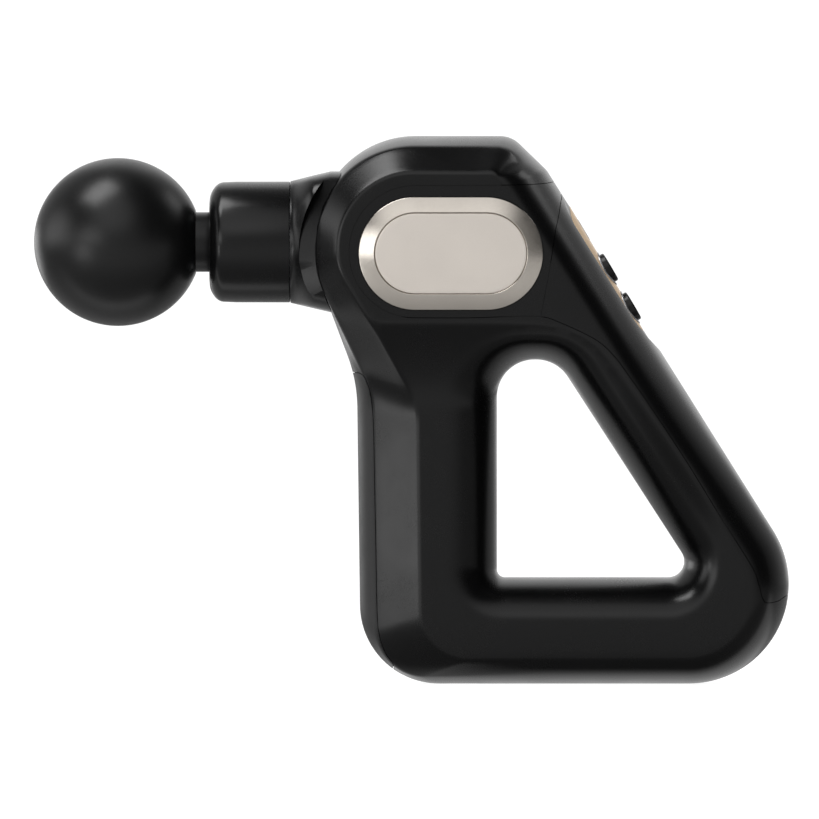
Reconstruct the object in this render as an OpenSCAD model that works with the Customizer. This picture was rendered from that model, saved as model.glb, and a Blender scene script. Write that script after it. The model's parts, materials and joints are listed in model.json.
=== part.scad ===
// Percussive massage gun with a triangular grip.
// Frame: origin where the crank axis (Y) meets the plunger axis (X). The massage head points to -X, +Z is up.

/* [Head and handle casing] */
// Half thickness of the head, from the mid plane to the side face
head_t = 32; // [31.5:0.1:32.5]
// Half thickness of the handle
grip_t = 21; // [20.8:0.1:21.5]
// Wall thickness of the mouldings
wall = 2.2; // [2:0.1:2.4]
// Gap at the parting lines between mouldings
seam = 0.3; // [0.2:0.05:0.4]

/* [Drive] */
// Stroke of the plunger, twice the crank radius
stroke = 12; // [10:1:12]
// Centre distance of the connecting rod
rod_len = 34; // [33:1:36]
// Diameter of the plunger
plunger_d = 24; // [23.6:0.1:24]
// Radial running clearance of plunger and pins
run_gap = 0.03; // [0.02:0.01:0.06]
// Outer diameter of the motor rotor can
motor_d = 42; // [40:1:43]

/* [Nose and massage head] */
// Diameter of the nose collar
collar_d = 39.4; // [39:0.2:40]
// Largest diameter of the neck cone
neck_d = 45.8; // [45:0.2:46]
// Diameter of the ball
ball_d = 54.6; // [50:0.2:55]
// Diameter of the exposed shank of the massage head
shank_d = 19.4; // [18:0.2:20]
// Diameter of the spigot that plugs into the plunger
spigot_d = 16; // [15:0.5:16]

/* [Badge] */
// Radius of the round ends of the side badge
badge_r = 18.1; // [17.5:0.1:18.3]
// Radius of the round ends of its flat inner plate
badge_in_r = 13.3; // [12:0.1:14]
// Height of the badge above the side face
badge_h = 2; // [1:0.1:2.5]

/* [Control panel] */
// Length of the panel along the rear slope
panel_l = 47.4; // [46:0.2:47.6]
// Half width of the panel
panel_w = 8.2; // [7.6:0.1:8.4]
// Crown radius of the panel across the gun
panel_crown = 16.5; // [16:0.5:17]
// Diameter of a push button
button_d = 10; // [9.5:0.1:10.2]
// Travel of a push button
button_travel = 0.6; // [0.4:0.1:0.8]

/* [Battery] */
// Diameter of a cell
cell_d = 18.4; // [18:0.1:18.5]
// Length of a cell
cell_l = 65; // [64:0.5:66]

/* [Hidden] */

crank_r = stroke / 2;
pr = plunger_d / 2;
key_s = [23.8, 38.4];         // button centres along the panel
port_x = 8;                   // charging socket, along X
e = 0.01;

// Sub-parts are drawn about the crank axis; the finished gun stands on Z = 0 with its box centred in X and Y.
module stand() translate([9.45, 0, 143.5]) children();

// ---------- helpers ----------
function unit(v) = v / norm(v);
function rot2(v, a) = [v.x * cos(a) - v.y * sin(a), v.x * sin(a) + v.y * cos(a)];
function mix(a, b, t) = a * (1 - t) + b * t;
// Corners are [x, z, radius, y]. Each corner becomes an arc of n + 1 points, so that every ring has the same count.
function arc_at(p, c, q, n) =
  let (a = [p[0], p[1]], b = [c[0], c[1]], d = [q[0], q[1]],
       u1 = unit(b - a), u2 = unit(d - b), cr = u1.x * u2.y - u1.y * u2.x, s = cr < 0 ? -1 : 1,
       ph = acos(max(-1, min(1, u1 * u2))), r = c[2], t = r * tan(ph / 2),
       st = b - u1 * t, ce = st + [-u1.y, u1.x] * s * r)
  [for (k = [0:n]) let (v = ce + rot2(st - ce, s * ph * k / n)) [v.x, c[3], v.y]];
function ring(cs, n) = let (m = len(cs)) [for (i = [0:m - 1]) each arc_at(cs[(i + m - 1) % m], cs[i], cs[(i + 1) % m], n)];
// Moves every edge of a closed corner list inwards by its own distance.
function inset(cs, ds) = let (m = len(cs)) [for (i = [0:m - 1])
  let (p = cs[(i + m - 1) % m], c = cs[i], q = cs[(i + 1) % m],
       u1 = unit([c[0] - p[0], c[1] - p[1]]), u2 = unit([q[0] - c[0], q[1] - c[1]]),
       n1 = [-u1.y, u1.x], n2 = [-u2.y, u2.x], d1 = ds[(i + m - 1) % m], d2 = ds[i],
       t = (d2 - d1 * (n1 * n2)) / (u1 * n2), v = [c[0], c[1]] + n1 * d1 + u1 * t,
       s = (u1.x * u2.y - u1.y * u2.x) < 0 ? -1 : 1)
  [v.x, v.y, max(0.8, c[2] - s * (d1 + d2) / 2), c[3]]];
function set_y(cs, ys) = [for (i = [0:len(cs) - 1]) [cs[i][0], cs[i][1], cs[i][2], ys[i]]];
function scale_y(cs, k) = [for (c = cs) [c[0], c[1], c[2], c[3] * k]];
function mixc(a, b, t) = [for (i = [0:len(a) - 1]) mix(a[i], b[i], t)];
function flip(r) = [for (p = r) [p.x, -p.y, p.z]];
// Closed solid through rings that run from -Y to +Y.
module loft(rs) {
  n = len(rs[0]); m = len(rs);
  polyhedron(points = [for (r = rs) each r],
    faces = concat([[for (i = [n - 1:-1:0]) i]],
      [for (k = [0:m - 2], i = [0:n - 1]) let (a = k * n + i, b = k * n + (i + 1) % n) [a, b, a + n]],
      [for (k = [0:m - 2], i = [0:n - 1]) let (a = k * n + i, b = k * n + (i + 1) % n) [b, b + n, a + n]],
      [[for (i = [0:n - 1]) (m - 1) * n + i]]));
}
module both(side) loft(concat([for (i = [len(side) - 1:-1:1]) flip(side[i])], side));
// One side only, starting 0.05 mm off the mid plane; s picks -Y or +Y.
module half(side, s) {
  base = [for (p = side[0]) [p.x, 0.05, p.z]];
  if (s > 0) loft(concat([base], [for (i = [1:len(side) - 1]) side[i]]));
  else loft(concat([for (i = [len(side) - 1:-1:1]) flip(side[i])], [flip(base)]));
}
module xz(y0, y1) translate([0, y1, 0]) rotate([90, 0, 0]) linear_extrude(y1 - y0) children();
module ycyl(r, y0, y1, x = 0, z = 0, n = 64) translate([x, y0, z]) rotate([-90, 0, 0]) cylinder(r = r, h = y1 - y0, $fn = n);
module ytube(ro, ri, y0, y1, x = 0, z = 0) difference() { ycyl(ro, y0, y1, x, z); ycyl(ri, y0 - 1, y1 + 1, x, z); }
module xcyl(r, x0, x1, y = 0, z = 0) translate([x0, y, z]) rotate([0, 90, 0]) cylinder(r = r, h = x1 - x0, $fn = 64);
module xtube(ro, ri, x0, x1) difference() { xcyl(ro, x0, x1); xcyl(ri, x0 - 1, x1 + 1); }
module slot2(r, x0, x1, z = 0) { translate([x0, z]) circle(r = r, $fn = 64); translate([x1, z]) circle(r = r, $fn = 64); translate([x0, z - r]) square([x1 - x0, 2 * r]); }
// Puts children on the rear slope: local x runs down the slope, z points out of the gun.
module on_panel(s = 0, z = 0) translate([42.1, 0, 11.8]) rotate([0, 59.3, 0]) translate([s, 0, z]) children();

// ---------- casing outlines ----------
// Widest outline, at the mid plane: head top right, head top left, head front, waist, heel, tail, shoulder.
ring_s = [[23.2, 34.45, 9, 0], [-40.4, 34.45, 32.5, 0], [-40.4, -9.6, 32, 0], [-27, -45, 50, 0],
          [-25.7, -143.5, 25.7, 0], [139.6, -143.5, 32.4, 0], [34.7, 23.3, 8, 0]];
// Outer crease, where the centre band meets the chamfer.
ring_a = [[21.2, 30.55, 8, 22], [-40.4, 30.55, 32, 24], [-40.4, -11.4, 32, 24], [-21.9, -49.2, 28, 13.5],
          [-20.7, -141, 16, 14], [131.4, -141, 30, 14.5], [29.2, 22.9, 8, 16.5]];
// Inner crease, where the chamfer meets the side face.
ring_b = [[17.5, 22.1, 4, head_t], [-33.2, 22.1, 25.2, head_t], [-33.2, -8, 24, head_t], [-7.2, -52.6, 26, grip_t],
          [-6.2, -135.8, 15.5, grip_t], [119.2, -135.6, 22, grip_t], [21.5, 18.3, 4, head_t]];
function ring_1(w = 0) = set_y(inset(ring_s, [for (v = [0.4, 0, 0.3, 0.6, 0, 0.5, 0.4]) v + w]), [9, 10, 10, 5.6, 5.6, 6, 6.6]);
function ring_2(w = 0) = set_y(inset(ring_s, [for (v = [1.7, 0, 1.3, 2.6, 0, 2.2, 1.6]) v + w]), [16.5, 18, 18, 10.2, 12, 11.5, 12.4]);
// Halfway up the chamfer; rounded corners stand out from the straight line.
ring_m = [for (i = [0:6]) let (r = (i == 5 || i == 6 || i == 0), t = r ? 0.45 : 0.5, h = r ? 0.72 : 0.5)
  let (c = mix(ring_a[i], ring_b[i], t)) [c[0], c[1], c[2], mix(ring_a[i][3], ring_b[i][3], h)]];
function beyond(i) = i == 3 || i == 4 ? 1.9 : i == 5 ? 1.15 : 1.1;
ring_top = [for (i = [0:6]) let (c = mix(ring_a[i], ring_b[i], beyond(i))) [c[0], c[1], max(1, c[2]), head_t + 1.5]];

hole_s = [[37.9, -38.2, 12.2, 0], [18.5, -38.2, 12.2, 0], [18.5, -108.9, 2.9, 0], [83.7, -108.9, 5.5, 0]];
hole_e = [-7, -18.3, -14.2, -11];      // how far the edge rounding reaches: top, front, bottom, rear
hole_y = [27.8, 27.8, grip_t, grip_t];
function hole_ring(th, w, extra) = let (k = 1 - cos(th), f = sin(th))
  set_y(inset(hole_s, [for (i = [0:3]) hole_e[i] * k - w]), [for (i = [0:3]) (hole_y[i] - w) * f + extra]);

module envelope(w) {
  u = [for (i = [0:6]) i / 6];
  pts = concat([[60, head_t - w], [-26.8, head_t - w]], [for (t = u) [-26.8 - 30 * t, grip_t - w + (head_t - grip_t) * (1 - t) * (1 - t)]], [[-160, grip_t - w]]);
  translate([-60, 0, 0]) rotate([0, 0, 90]) rotate([90, 0, 0]) linear_extrude(220)
    polygon(concat([for (p = pts) [p.y, p.x]], [for (i = [len(pts) - 1:-1:0]) [-pts[i].y, pts[i].x]]));
}
module outer_skin(s = 0, n = 5) {
  side = [ring(ring_s, n), ring(ring_1(), n), ring(ring_2(), n), ring(ring_a, n), ring(ring_m, n), ring(ring_top, n)];
  intersection() {
    if (s == 0) both(side); else half(side, s);
    envelope(0);
  }
}
module inner_skin(n = 3) {
  k = (grip_t - wall) / grip_t; d = [for (i = [0:6]) wall];
  intersection() {
    both([ring(inset(ring_s, d), n), ring(scale_y(ring_2(wall), k), n), ring(scale_y(inset(ring_a, d), k), n), ring(scale_y(inset(ring_m, d), k), n), ring(inset(ring_top, d), n)]);
    envelope(wall);
  }
}
module hole_cut(w = 0, n = 4) {
  both([ring(hole_ring(0, w, 0), n), ring(hole_ring(38, w, 0), n), ring(hole_ring(62, w, 0), n), ring(hole_ring(80, w, 0), n), ring(hole_ring(90, w, 3 + w), n)]);
}
module casing(s = 0) {
  difference() {
    difference() { outer_skin(s); hole_cut(); }
    difference() { inner_skin(); hole_cut(wall); }
    xcyl(neck_d / 2 + 0.15, -60, -25);
  }
}

// ---------- parting lines, in X and Z ----------
saddle_line = [[60, 20.2], [36.9, 19.6], [33.4, 18.7], [26, 17.9], [13, 17.7], [-8.1, 17.7]];
function saddle_arc() = [for (a = [90:15:270]) [-8.1 + 21.3 * cos(a), -3.6 + 21.3 * sin(a)]];
saddle_back = [[-8.1, -24.9], [20, -24.9], [32.4, -24.9], [35.7, -6.2], [38.1, 7.3], [39.8, 15], [60, 15.4]];
module saddle_region() polygon(concat(saddle_line, saddle_arc(), saddle_back));
rear_line = [[60, 15.4], [39.8, 15], [38.1, 7.3], [35.7, -6.2], [32.4, -24.9], [41, -26.7], [49.7, -30.4], [57.2, -37.4],
             [62.9, -45.2], [71, -58], [79.8, -71.9], [98.6, -102.6], [101.8, -107.4], [103.4, -114.4], [105, -116.8], [106.6, -117.2], [110, -116.4], [114, -113.8], [130, -110]];
module rear_region() polygon(concat(rear_line, [[150, -60], [90, 30]]));
module strip_region() polygon([[-40, -44], [-24.4, -44.5], [-22.6, -50], [-22, -62], [-21.2, -120], [-20.4, -128], [-18.2, -133.2], [-14, -137.6], [-20, -150], [-45, -150]]);

screw_at = [[-24.5, -34], [7, -38], [6, -130], [92, -124], [76, -80]];
module post_cut(s) for (p = screw_at) if (s < 0) ycyl(1.15, -14, 1, p.x, p.y, 16); else { ycyl(1.7, -1, 14, p.x, p.y, 16); ycyl(2.85, 12, 36, p.x, p.y, 20); }
// s = -1 for the left shell (-Y), 1 for the right shell (+Y)
module shell_half(s) difference() {
  union() {
    difference() {
      casing(s);
      xz(-60, 60) offset(delta = seam / 2) saddle_region();
      xz(-60, 60) offset(delta = seam / 2) rear_region();
      xz(-60, 60) offset(delta = seam / 2) strip_region();
    }
    intersection() {
      for (p = screw_at) if (s < 0) ycyl(3.4, -30, -0.05, p.x, p.y, 18); else ycyl(3.9, 0.05, 30, p.x, p.y, 18);
      outer_skin();
    }
  }
  hole_cut();
  post_cut(s);
  translate([port_x, 0, -145]) cube([9.6, 4, 12], center = true);
}

module shell_left() color([0.07, 0.07, 0.07]) resize([0, 0, 0]) shell_half(-1);
module shell_right() color([0.07, 0.07, 0.07]) resize([0, 0, 0]) shell_half(1);
module head_saddle() color([0.08, 0.08, 0.08]) resize([0, 0, 0]) difference() {
  intersection() { casing(); xz(-60, 60) offset(delta = -seam / 2) saddle_region(); }
  for (s = [-1, 1]) scale([1, s, 1]) xz(head_t - 1, head_t + 5) slot2(badge_r + 0.25, -8.1, 15.9, -3.6);
}
module rear_cover() color([0.08, 0.08, 0.08]) resize([0, 0, 0]) difference() {
  union() {
    intersection() { casing(); xz(-60, 60) offset(delta = -seam / 2) rear_region(); }
    // curved seat that the panel lies on
    intersection() {
      outer_skin();
      on_panel(0, -8) linear_extrude(16) slot2(panel_w + 1.6, panel_w, panel_l - panel_w);
      difference() {
        on_panel(-5, -panel_crown) rotate([0, 90, 0]) cylinder(r = panel_crown - 1, h = 60, $fn = 64);
        on_panel(-5, -panel_crown) rotate([0, 90, 0]) cylinder(r = panel_crown - 3.55, h = 60, $fn = 64);
      }
    }
  }
  for (k = key_s) on_panel(k, -9.6) cylinder(r = button_d / 2 + 1.5, h = 6, $fn = 32);
  difference() {
    on_panel(0, -8) linear_extrude(16) slot2(panel_w + 0.2, panel_w, panel_l - panel_w);
    on_panel(-5, -panel_crown) rotate([0, 90, 0]) cylinder(r = panel_crown - 1.55, h = 60, $fn = 64);
  }
  for (k = key_s) on_panel(k, -12) cylinder(r = button_d / 2 + 0.2, h = 14, $fn = 32);
  on_panel(9, -12) linear_extrude(14) slot2(1.6, -2.6, 2.6);
}
module grip_strip() color([0.13, 0.13, 0.13]) resize([0, 0, 0]) intersection() {
  difference() { outer_skin(); inner_skin(); }
  xz(-60, 60) offset(delta = -seam / 2) strip_region();
}

// ---------- badges ----------
module badge_body(s) scale([1, s, 1]) {
  xz(head_t - 0.9, head_t + e) slot2(badge_r, -8.1, 15.9, -3.6);
  for (x = [-8.1, 15.9]) translate([x, head_t, -3.6]) rotate([-90, 0, 0]) cylinder(r1 = badge_r - 0.2, r2 = badge_in_r, h = badge_h, $fn = 96);
  translate([-8.1, 0, -3.6]) rotate([90, 0, 90]) linear_extrude(24) polygon([[head_t, -badge_r + 0.2], [head_t + badge_h, -badge_in_r], [head_t + badge_h, badge_in_r], [head_t, badge_r - 0.2]]);
}
module badge_ring(s) difference() {
  badge_body(s);
  scale([1, s, 1]) xz(head_t + badge_h - 0.7, head_t + badge_h + 3) slot2(badge_in_r - 0.4, -8.1, 15.9, -3.6);
}
module badge_plate(s) scale([1, s, 1]) xz(head_t + badge_h - 0.68, head_t + badge_h - 0.05) slot2(badge_in_r - 0.45, -8.1, 15.9, -3.6);
module badge_ring_left() color([0.78, 0.74, 0.69]) badge_ring(-1);
module badge_ring_right() color([0.78, 0.74, 0.69]) badge_ring(1);
module badge_plate_left() color([0.8, 0.77, 0.72]) badge_plate(-1);
module badge_plate_right() color([0.8, 0.77, 0.72]) badge_plate(1);

// ---------- nose ----------
module neck_cone() color([0.09, 0.09, 0.09]) difference() {
  intersection() {
    rotate([0, -90, 0]) rotate_extrude($fn = 96) polygon([[17.3, 30], [neck_d / 2, 30], [neck_d / 2, 35.2], [collar_d / 2 + 0.1, 48.6], [17.3, 48.6]]);
    // side chamfer that follows the round front of the head
    translate([-8.1, 0, -3.6]) rotate([-90, 0, 0]) rotate_extrude($fn = 96) polygon([[0, -24], [32.4, -24], [37.7, -20.45], [60, -20.45], [60, 20.45], [37.7, 20.45], [32.4, 24], [0, 24]]);
  }
  xcyl(20.7, -39.3, -20);
  for (a = [45:90:315]) xcyl(1.25, -45, -39, 18.9 * cos(a), 18.9 * sin(a));
}
module nose_collar() color([0.09, 0.09, 0.09]) rotate([0, -90, 0]) rotate_extrude($fn = 96) difference() {
  union() {
    translate([12.8, 48.75]) square([collar_d / 2 - 12.8, 23.55]);
    translate([12.8, 72.2]) square([collar_d / 2 - 15.4, 2.7]);
    translate([collar_d / 2 - 2.6, 72.3]) circle(r = 2.6, $fn = 48);
  }
  translate([0, 40]) square([17.1, 31.2]);
  translate([12, 72.05]) square([2.5, 1.9]);
}
module front_seal() color([0.05, 0.05, 0.05]) xtube(14.45, pr + 0.15, -73.9, -72.1);
module guide_bush() color([0.72, 0.6, 0.35]) xtube(14.18, pr + run_gap, -70, -48);
module drive_frame() color([0.62, 0.63, 0.65]) difference() {
  union() {
    xcyl(17, -71, -36);
    xcyl(20.5, -39, -36);
    xz(8.8, 12.8) { circle(r = 22, $fn = 96); translate([-38, -16]) square([38, 32]); }
    for (z = [-16.2, 13.2]) translate([-37, 0, z]) cube([17, 12.8, 3]);
  }
  xcyl(14.2, -80, -20);
  ycyl(6.1, 8, 14);
  for (a = [45:90:315]) ycyl(1.3, 8, 14, 11 * cos(a), 11 * sin(a));
  for (a = [45:90:315]) { xcyl(1.25, -40, -30, 18.9 * cos(a), 18.9 * sin(a)); xcyl(1.8, -36, -32, 18.9 * cos(a), 18.9 * sin(a)); }
}
module frame_screws() color([0.5, 0.5, 0.52]) for (a = [45:90:315]) {
  xcyl(1.2, -44.5, -35.5, 18.9 * cos(a), 18.9 * sin(a));
  difference() { xcyl(1.6, -35.95, -34.4, 18.9 * cos(a), 18.9 * sin(a)); xcyl(0.7, -35, -34, 18.9 * cos(a), 18.9 * sin(a)); }
}
module shell_screws() color([0.45, 0.45, 0.47]) for (p = screw_at) {
  ycyl(1.08, -13, 12.5, p.x, p.y);
  difference() { ycyl(2.6, 12.02, 14, p.x, p.y); ycyl(1.1, 13, 15, p.x, p.y); }
}

// ---------- motor ----------
module petals(n, w, r0, r1) for (i = [0:n - 1]) rotate(i * 360 / n) translate([r0, -w / 2]) square([r1 - r0, w]);
module motor_base() color([0.6, 0.6, 0.62]) difference() {
  union() { ycyl(14, 12.83, 14.3); ycyl(5.95, 9, 25); }
  ycyl(4.52, 8, 13); ycyl(4.52, 21.4, 26); ycyl(3.4, 8, 26);
  for (a = [45:90:315]) ycyl(1.02, 12, 15, 11 * cos(a), 11 * sin(a));
}
module motor_screws() color([0.5, 0.5, 0.52]) for (a = [45:90:315]) {
  ycyl(1, 8.5, 14.25, 11 * cos(a), 11 * sin(a));
  ycyl(1.9, 7.98 + 0.2, 8.75, 11 * cos(a), 11 * sin(a));
}
module motor_stator() color([0.35, 0.36, 0.38]) xz(16.3, 24.3) difference() {
  union() {
    circle(r = 9, $fn = 64);
    petals(12, 2.6, 8, 16.4);
    intersection() { difference() { circle(r = 17.4, $fn = 96); circle(r = 16, $fn = 96); } petals(12, 6.6, 10, 20); }
  }
  circle(r = 5.98, $fn = 64);
}
module motor_windings() color([0.72, 0.38, 0.18]) for (i = [0:11]) rotate([0, i * 30, 0]) difference() {
  translate([10.2, 15.1, -2.3]) cube([5.4, 10.4, 4.6]);
  translate([9, 16.28, -1.32]) cube([8, 8.04, 2.64]);
}
module motor_shaft() color([0.75, 0.76, 0.78]) ycyl(2.5, 3.8, 28.4);
module bearing_outer_races() color([0.7, 0.71, 0.73]) for (y = [9.5, 21.5]) ytube(4.5, 4.0, y, y + 3);
module bearing_inner_races() color([0.7, 0.71, 0.73]) for (y = [9.5, 21.5]) ytube(3.1, 2.52, y, y + 3);
module bearing_balls() color([0.85, 0.86, 0.88]) for (y = [11, 23], a = [0:45:315]) translate([3.55 * cos(a), y, 3.55 * sin(a)]) sphere(r = 0.42, $fn = 24);
module rotor_can() color([0.2, 0.2, 0.22]) difference() {
  union() { ytube(motor_d / 2, motor_d / 2 - 1.5, 14.9, 28.6); ycyl(motor_d / 2, 27.1, 28.6); ycyl(4.5, 25.4, 28.6); }
  ycyl(2.51, 20, 30);
  for (a = [0:60:300]) ycyl(3.2, 26, 30, 12 * cos(a), 12 * sin(a));
}
module rotor_magnets() color([0.55, 0.55, 0.57]) xz(15.5, 25.1) intersection() {
  difference() { circle(r = motor_d / 2 - 1.52, $fn = 96); circle(r = 17.8, $fn = 96); }
  petals(14, 7, 10, 25);
}
module crank() color([0.66, 0.67, 0.69]) difference() {
  union() {
    xz(3.6, 8) { circle(r = 8, $fn = 64); translate([crank_r, 0]) circle(r = 6.5, $fn = 64);
      intersection() { circle(r = 16, $fn = 96); polygon([[0, 0], [-14, 22], [-24, 12], [-24, -12], [-14, -22]]); } }
    ycyl(4, -3.1, 3.7, crank_r, 0);
  }
  ycyl(2.51, 3, 9);
  ycyl(1.2, -4, 2.5, crank_r, 0);
}
module crank_retainer() color([0.5, 0.5, 0.52]) difference() {
  union() { ycyl(5.3, -3.75, -3.15, crank_r, 0); ycyl(2.4, -5.2, -3.7, crank_r, 0); ycyl(1.15, -3.5, 2, crank_r, 0); }
  xz(-6, -4.3) translate([crank_r, 0]) circle(r = 1.3, $fn = 6);
}
module rod_bearing_inner() color([0.7, 0.71, 0.73]) ytube(5.2, 4.02, -2.5, 2.5, crank_r, 0);
module rod_bearing_balls() color([0.85, 0.86, 0.88]) for (a = [0:40:320]) translate([crank_r + 6 * cos(a), 0, 6 * sin(a)]) sphere(r = 0.78, $fn = 24);
module rod_bearing_outer() color([0.7, 0.71, 0.73]) ytube(8, 6.8, -2.5, 2.5, crank_r, 0);
module connecting_rod() color([0.6, 0.61, 0.63]) difference() {
  xz(-3, 3) {
    translate([crank_r, 0]) circle(r = 11, $fn = 96);
    translate([crank_r - rod_len, 0]) circle(r = 6.5, $fn = 64);
    polygon([[crank_r - rod_len, -4.6], [crank_r, -7], [crank_r, 7], [crank_r - rod_len, 4.6]]);
  }
  ycyl(8.02, -2.52, 4, crank_r, 0); ycyl(7.3, -4, 4, crank_r, 0);
  ycyl(5.02, -4, 4, crank_r - rod_len, 0);
  for (y = [-4, 2]) xz(y, y + 2) polygon([[-20.5, -2.4], [-6.5, -3.4], [-6.5, 3.4], [-20.5, 2.4]]);
}
module small_end_bush() color([0.72, 0.6, 0.35]) ytube(5, 4 + run_gap, -3, 3, crank_r - rod_len, 0);

// ---------- plunger and massage head ----------
module plunger() color([0.7, 0.71, 0.73]) difference() {
  xcyl(pr, -72.5, -22.5);
  xcyl(spigot_d / 2 + 0.05, -73, -52);
  xcyl(3, -54, -46);
  // fork slot
  translate([-47, -3.4, -20]) cube([30, 6.8, 40]);
  ycyl(4.01, -14, 14, crank_r - rod_len, 0);
  for (s = [-1, 1]) scale([1, s, 1]) translate([-31, 9.6, -20]) cube([20, 5, 40]);
}
module wrist_pins() color([0.8, 0.81, 0.83]) for (s = [-1, 1]) scale([1, s, 1]) ycyl(4, 3.2, 9.6, crank_r - rod_len, 0);
module ball_cover() color([0.06, 0.06, 0.06]) difference() {
  translate([-104.65, 0, 0]) sphere(d = ball_d, $fn = 96);
  xcyl(shank_d / 2 + 0.02, -84.03, -60);
  xcyl(7.02, -107.03, -60);
  xcyl(9.02, -101.03, -96.97);
}
module head_stem() color([0.1, 0.1, 0.1]) difference() {
  union() {
    xcyl(shank_d / 2, -84, -72.55);
    xcyl(7, -107, -83);
    xcyl(9, -101, -97);
    xcyl(spigot_d / 2, -73, -54);
  }
  for (x = [-67.5, -60]) xtube(12, 6.6, x, x + 2.2);
  xcyl(3.5, -66, -50);
}
module shank_o_rings() color([0.05, 0.05, 0.05]) for (x = [-66.4, -58.9]) rotate([0, 90, 0]) translate([0, 0, x]) rotate_extrude($fn = 64) translate([7.32, 0]) circle(r = 0.7, $fn = 24);

// ---------- control panel ----------
module panel_pill(w, z0, z1) on_panel(0, z0) linear_extrude(z1 - z0) slot2(w, panel_w, panel_l - panel_w);
module crown(r) on_panel(-5, -panel_crown) rotate([0, 90, 0]) cylinder(r = r, h = 60, $fn = 128);
module control_panel() color([0.84, 0.71, 0.58]) difference() {
  intersection() { panel_pill(panel_w, -8, 4); crown(panel_crown); }
  crown(panel_crown - 1.45);
  for (k = key_s) on_panel(k, -6) cylinder(r = button_d / 2 + 1.2, h = 10, $fn = 64);
  on_panel(9, -6) linear_extrude(10) slot2(1.5, -2.6, 2.6);
}
module button_rings() color([0.85, 0.85, 0.86]) for (k = key_s) on_panel(k, -1.4) difference() {
  cylinder(r = button_d / 2 + 1.15, h = 1.9, $fn = 64);
  translate([0, 0, -1]) cylinder(r = button_d / 2 + 0.2, h = 4, $fn = 64);
  translate([0, 0, 1.4 - panel_crown]) difference() { cube([80, 80, 0.01], center = true); }
}
module push_button(k) on_panel(k) difference() {
  union() {
    translate([0, 0, -4.4]) cylinder(r = button_d / 2 + 1.2, h = 0.7, $fn = 64);
    translate([0, 0, -4]) cylinder(r = button_d / 2, h = 5.1, $fn = 64);
    translate([0, 0, 1.1]) cylinder(r1 = button_d / 2, r2 = button_d / 2 - 0.5, h = 0.4, $fn = 64);
    translate([0, 0, -5.1]) cylinder(r = 2, h = 1, $fn = 48);
  }
  translate([0, 0, 21.15]) sphere(r = 20, $fn = 128);
}
module switch_stem(k) on_panel(k, -6.8) cylinder(r = 1.6, h = 1.68, $fn = 48);
module power_button() color([0.04, 0.04, 0.04]) push_button(key_s[0]);
module speed_button() color([0.04, 0.04, 0.04]) push_button(key_s[1]);
module power_switch_stem() color([0.15, 0.15, 0.15]) switch_stem(key_s[0]);
module speed_switch_stem() color([0.15, 0.15, 0.15]) switch_stem(key_s[1]);
module switch_bodies() color([0.6, 0.6, 0.62]) for (k = key_s) on_panel(k) difference() {
  translate([-3, -3, -9.45]) cube([6, 6, 3.45]);
  translate([0, 0, -7.7]) cylinder(r = 1.75, h = 4, $fn = 48);
}
module control_board() color([0.05, 0.3, 0.14]) on_panel(0) difference() {
  translate([2, -7, -10.7]) cube([44, 14, 1.2]);
  for (x = [4.2, 44], y = [-5, 5]) translate([x, y, -12]) cylinder(r = 0.8, h = 4, $fn = 24);
}
module indicator_leds() color([0.9, 0.9, 0.8]) for (x = [6.6, 9, 11.4]) on_panel(x) translate([-0.8, -0.5, -9.45]) cube([1.6, 1, 0.9]);
module indicator_lens() color([0.85, 0.87, 0.9]) on_panel(9, -4.4) linear_extrude(4.5) slot2(1.45, -2.6, 2.6);

// ---------- battery, boards and wiring ----------
cell_x = [-13.7, 5.1]; cell_top = -54.5; bar_x = 20.4; bar_z = -127; cell_y = 9.35;
module pill_cyl(r, a, b, h) { translate(a) cylinder(r = r, h = h, $fn = 48); translate(b) cylinder(r = r, h = h, $fn = 48); }
module battery_cells() color([0.18, 0.36, 0.55]) {
  for (x = cell_x) translate([x, 0, cell_top - cell_l]) { cylinder(d = cell_d, h = cell_l - 0.8, $fn = 64); cylinder(r = 4, h = cell_l, $fn = 48); }
  for (s = [-1, 1]) translate([bar_x, s * cell_y, bar_z]) rotate([0, 90, 0]) { cylinder(d = cell_d, h = cell_l - 0.8, $fn = 64); cylinder(r = 4, h = cell_l, $fn = 48); }
}
module battery_tabs() color([0.75, 0.75, 0.77]) {
  translate([-17, -3, cell_top + 0.03]) cube([25.4, 6, 0.3]);
  translate([-17, -3, cell_top - cell_l - 0.33]) cube([25.4, 6, 0.3]);
  translate([bar_x - 0.33, -12, bar_z - 3]) cube([0.3, 24, 6]);
  translate([bar_x + cell_l + 0.03, -12, bar_z - 3]) cube([0.3, 24, 6]);
}
module battery_holder() color([0.16, 0.16, 0.17]) {
  for (z = [cell_top + 0.36, cell_top - cell_l - 1.96]) translate([0, 0, z]) linear_extrude(1.6) slot2(8.8, cell_x[0], cell_x[1]);
  translate([-6, 7.4, cell_top - cell_l - 1.9]) cube([3.4, 1.4, cell_l + 3.8]);
  translate([-6, -8.8, cell_top - cell_l - 1.9]) cube([3.4, 1.4, cell_l + 3.8]);
  for (x = [bar_x - 1.96, bar_x + cell_l + 0.36]) translate([x, 0, bar_z]) rotate([90, 0, 90]) linear_extrude(1.6) slot2(8.7, -cell_y, cell_y);
  translate([bar_x - 1.9, -1.7, bar_z + 7.3]) cube([cell_l + 3.8, 3.4, 1.3]);
  translate([bar_x - 1.9, -1.7, bar_z - 8.6]) cube([cell_l + 3.8, 3.4, 1.3]);
}
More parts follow.
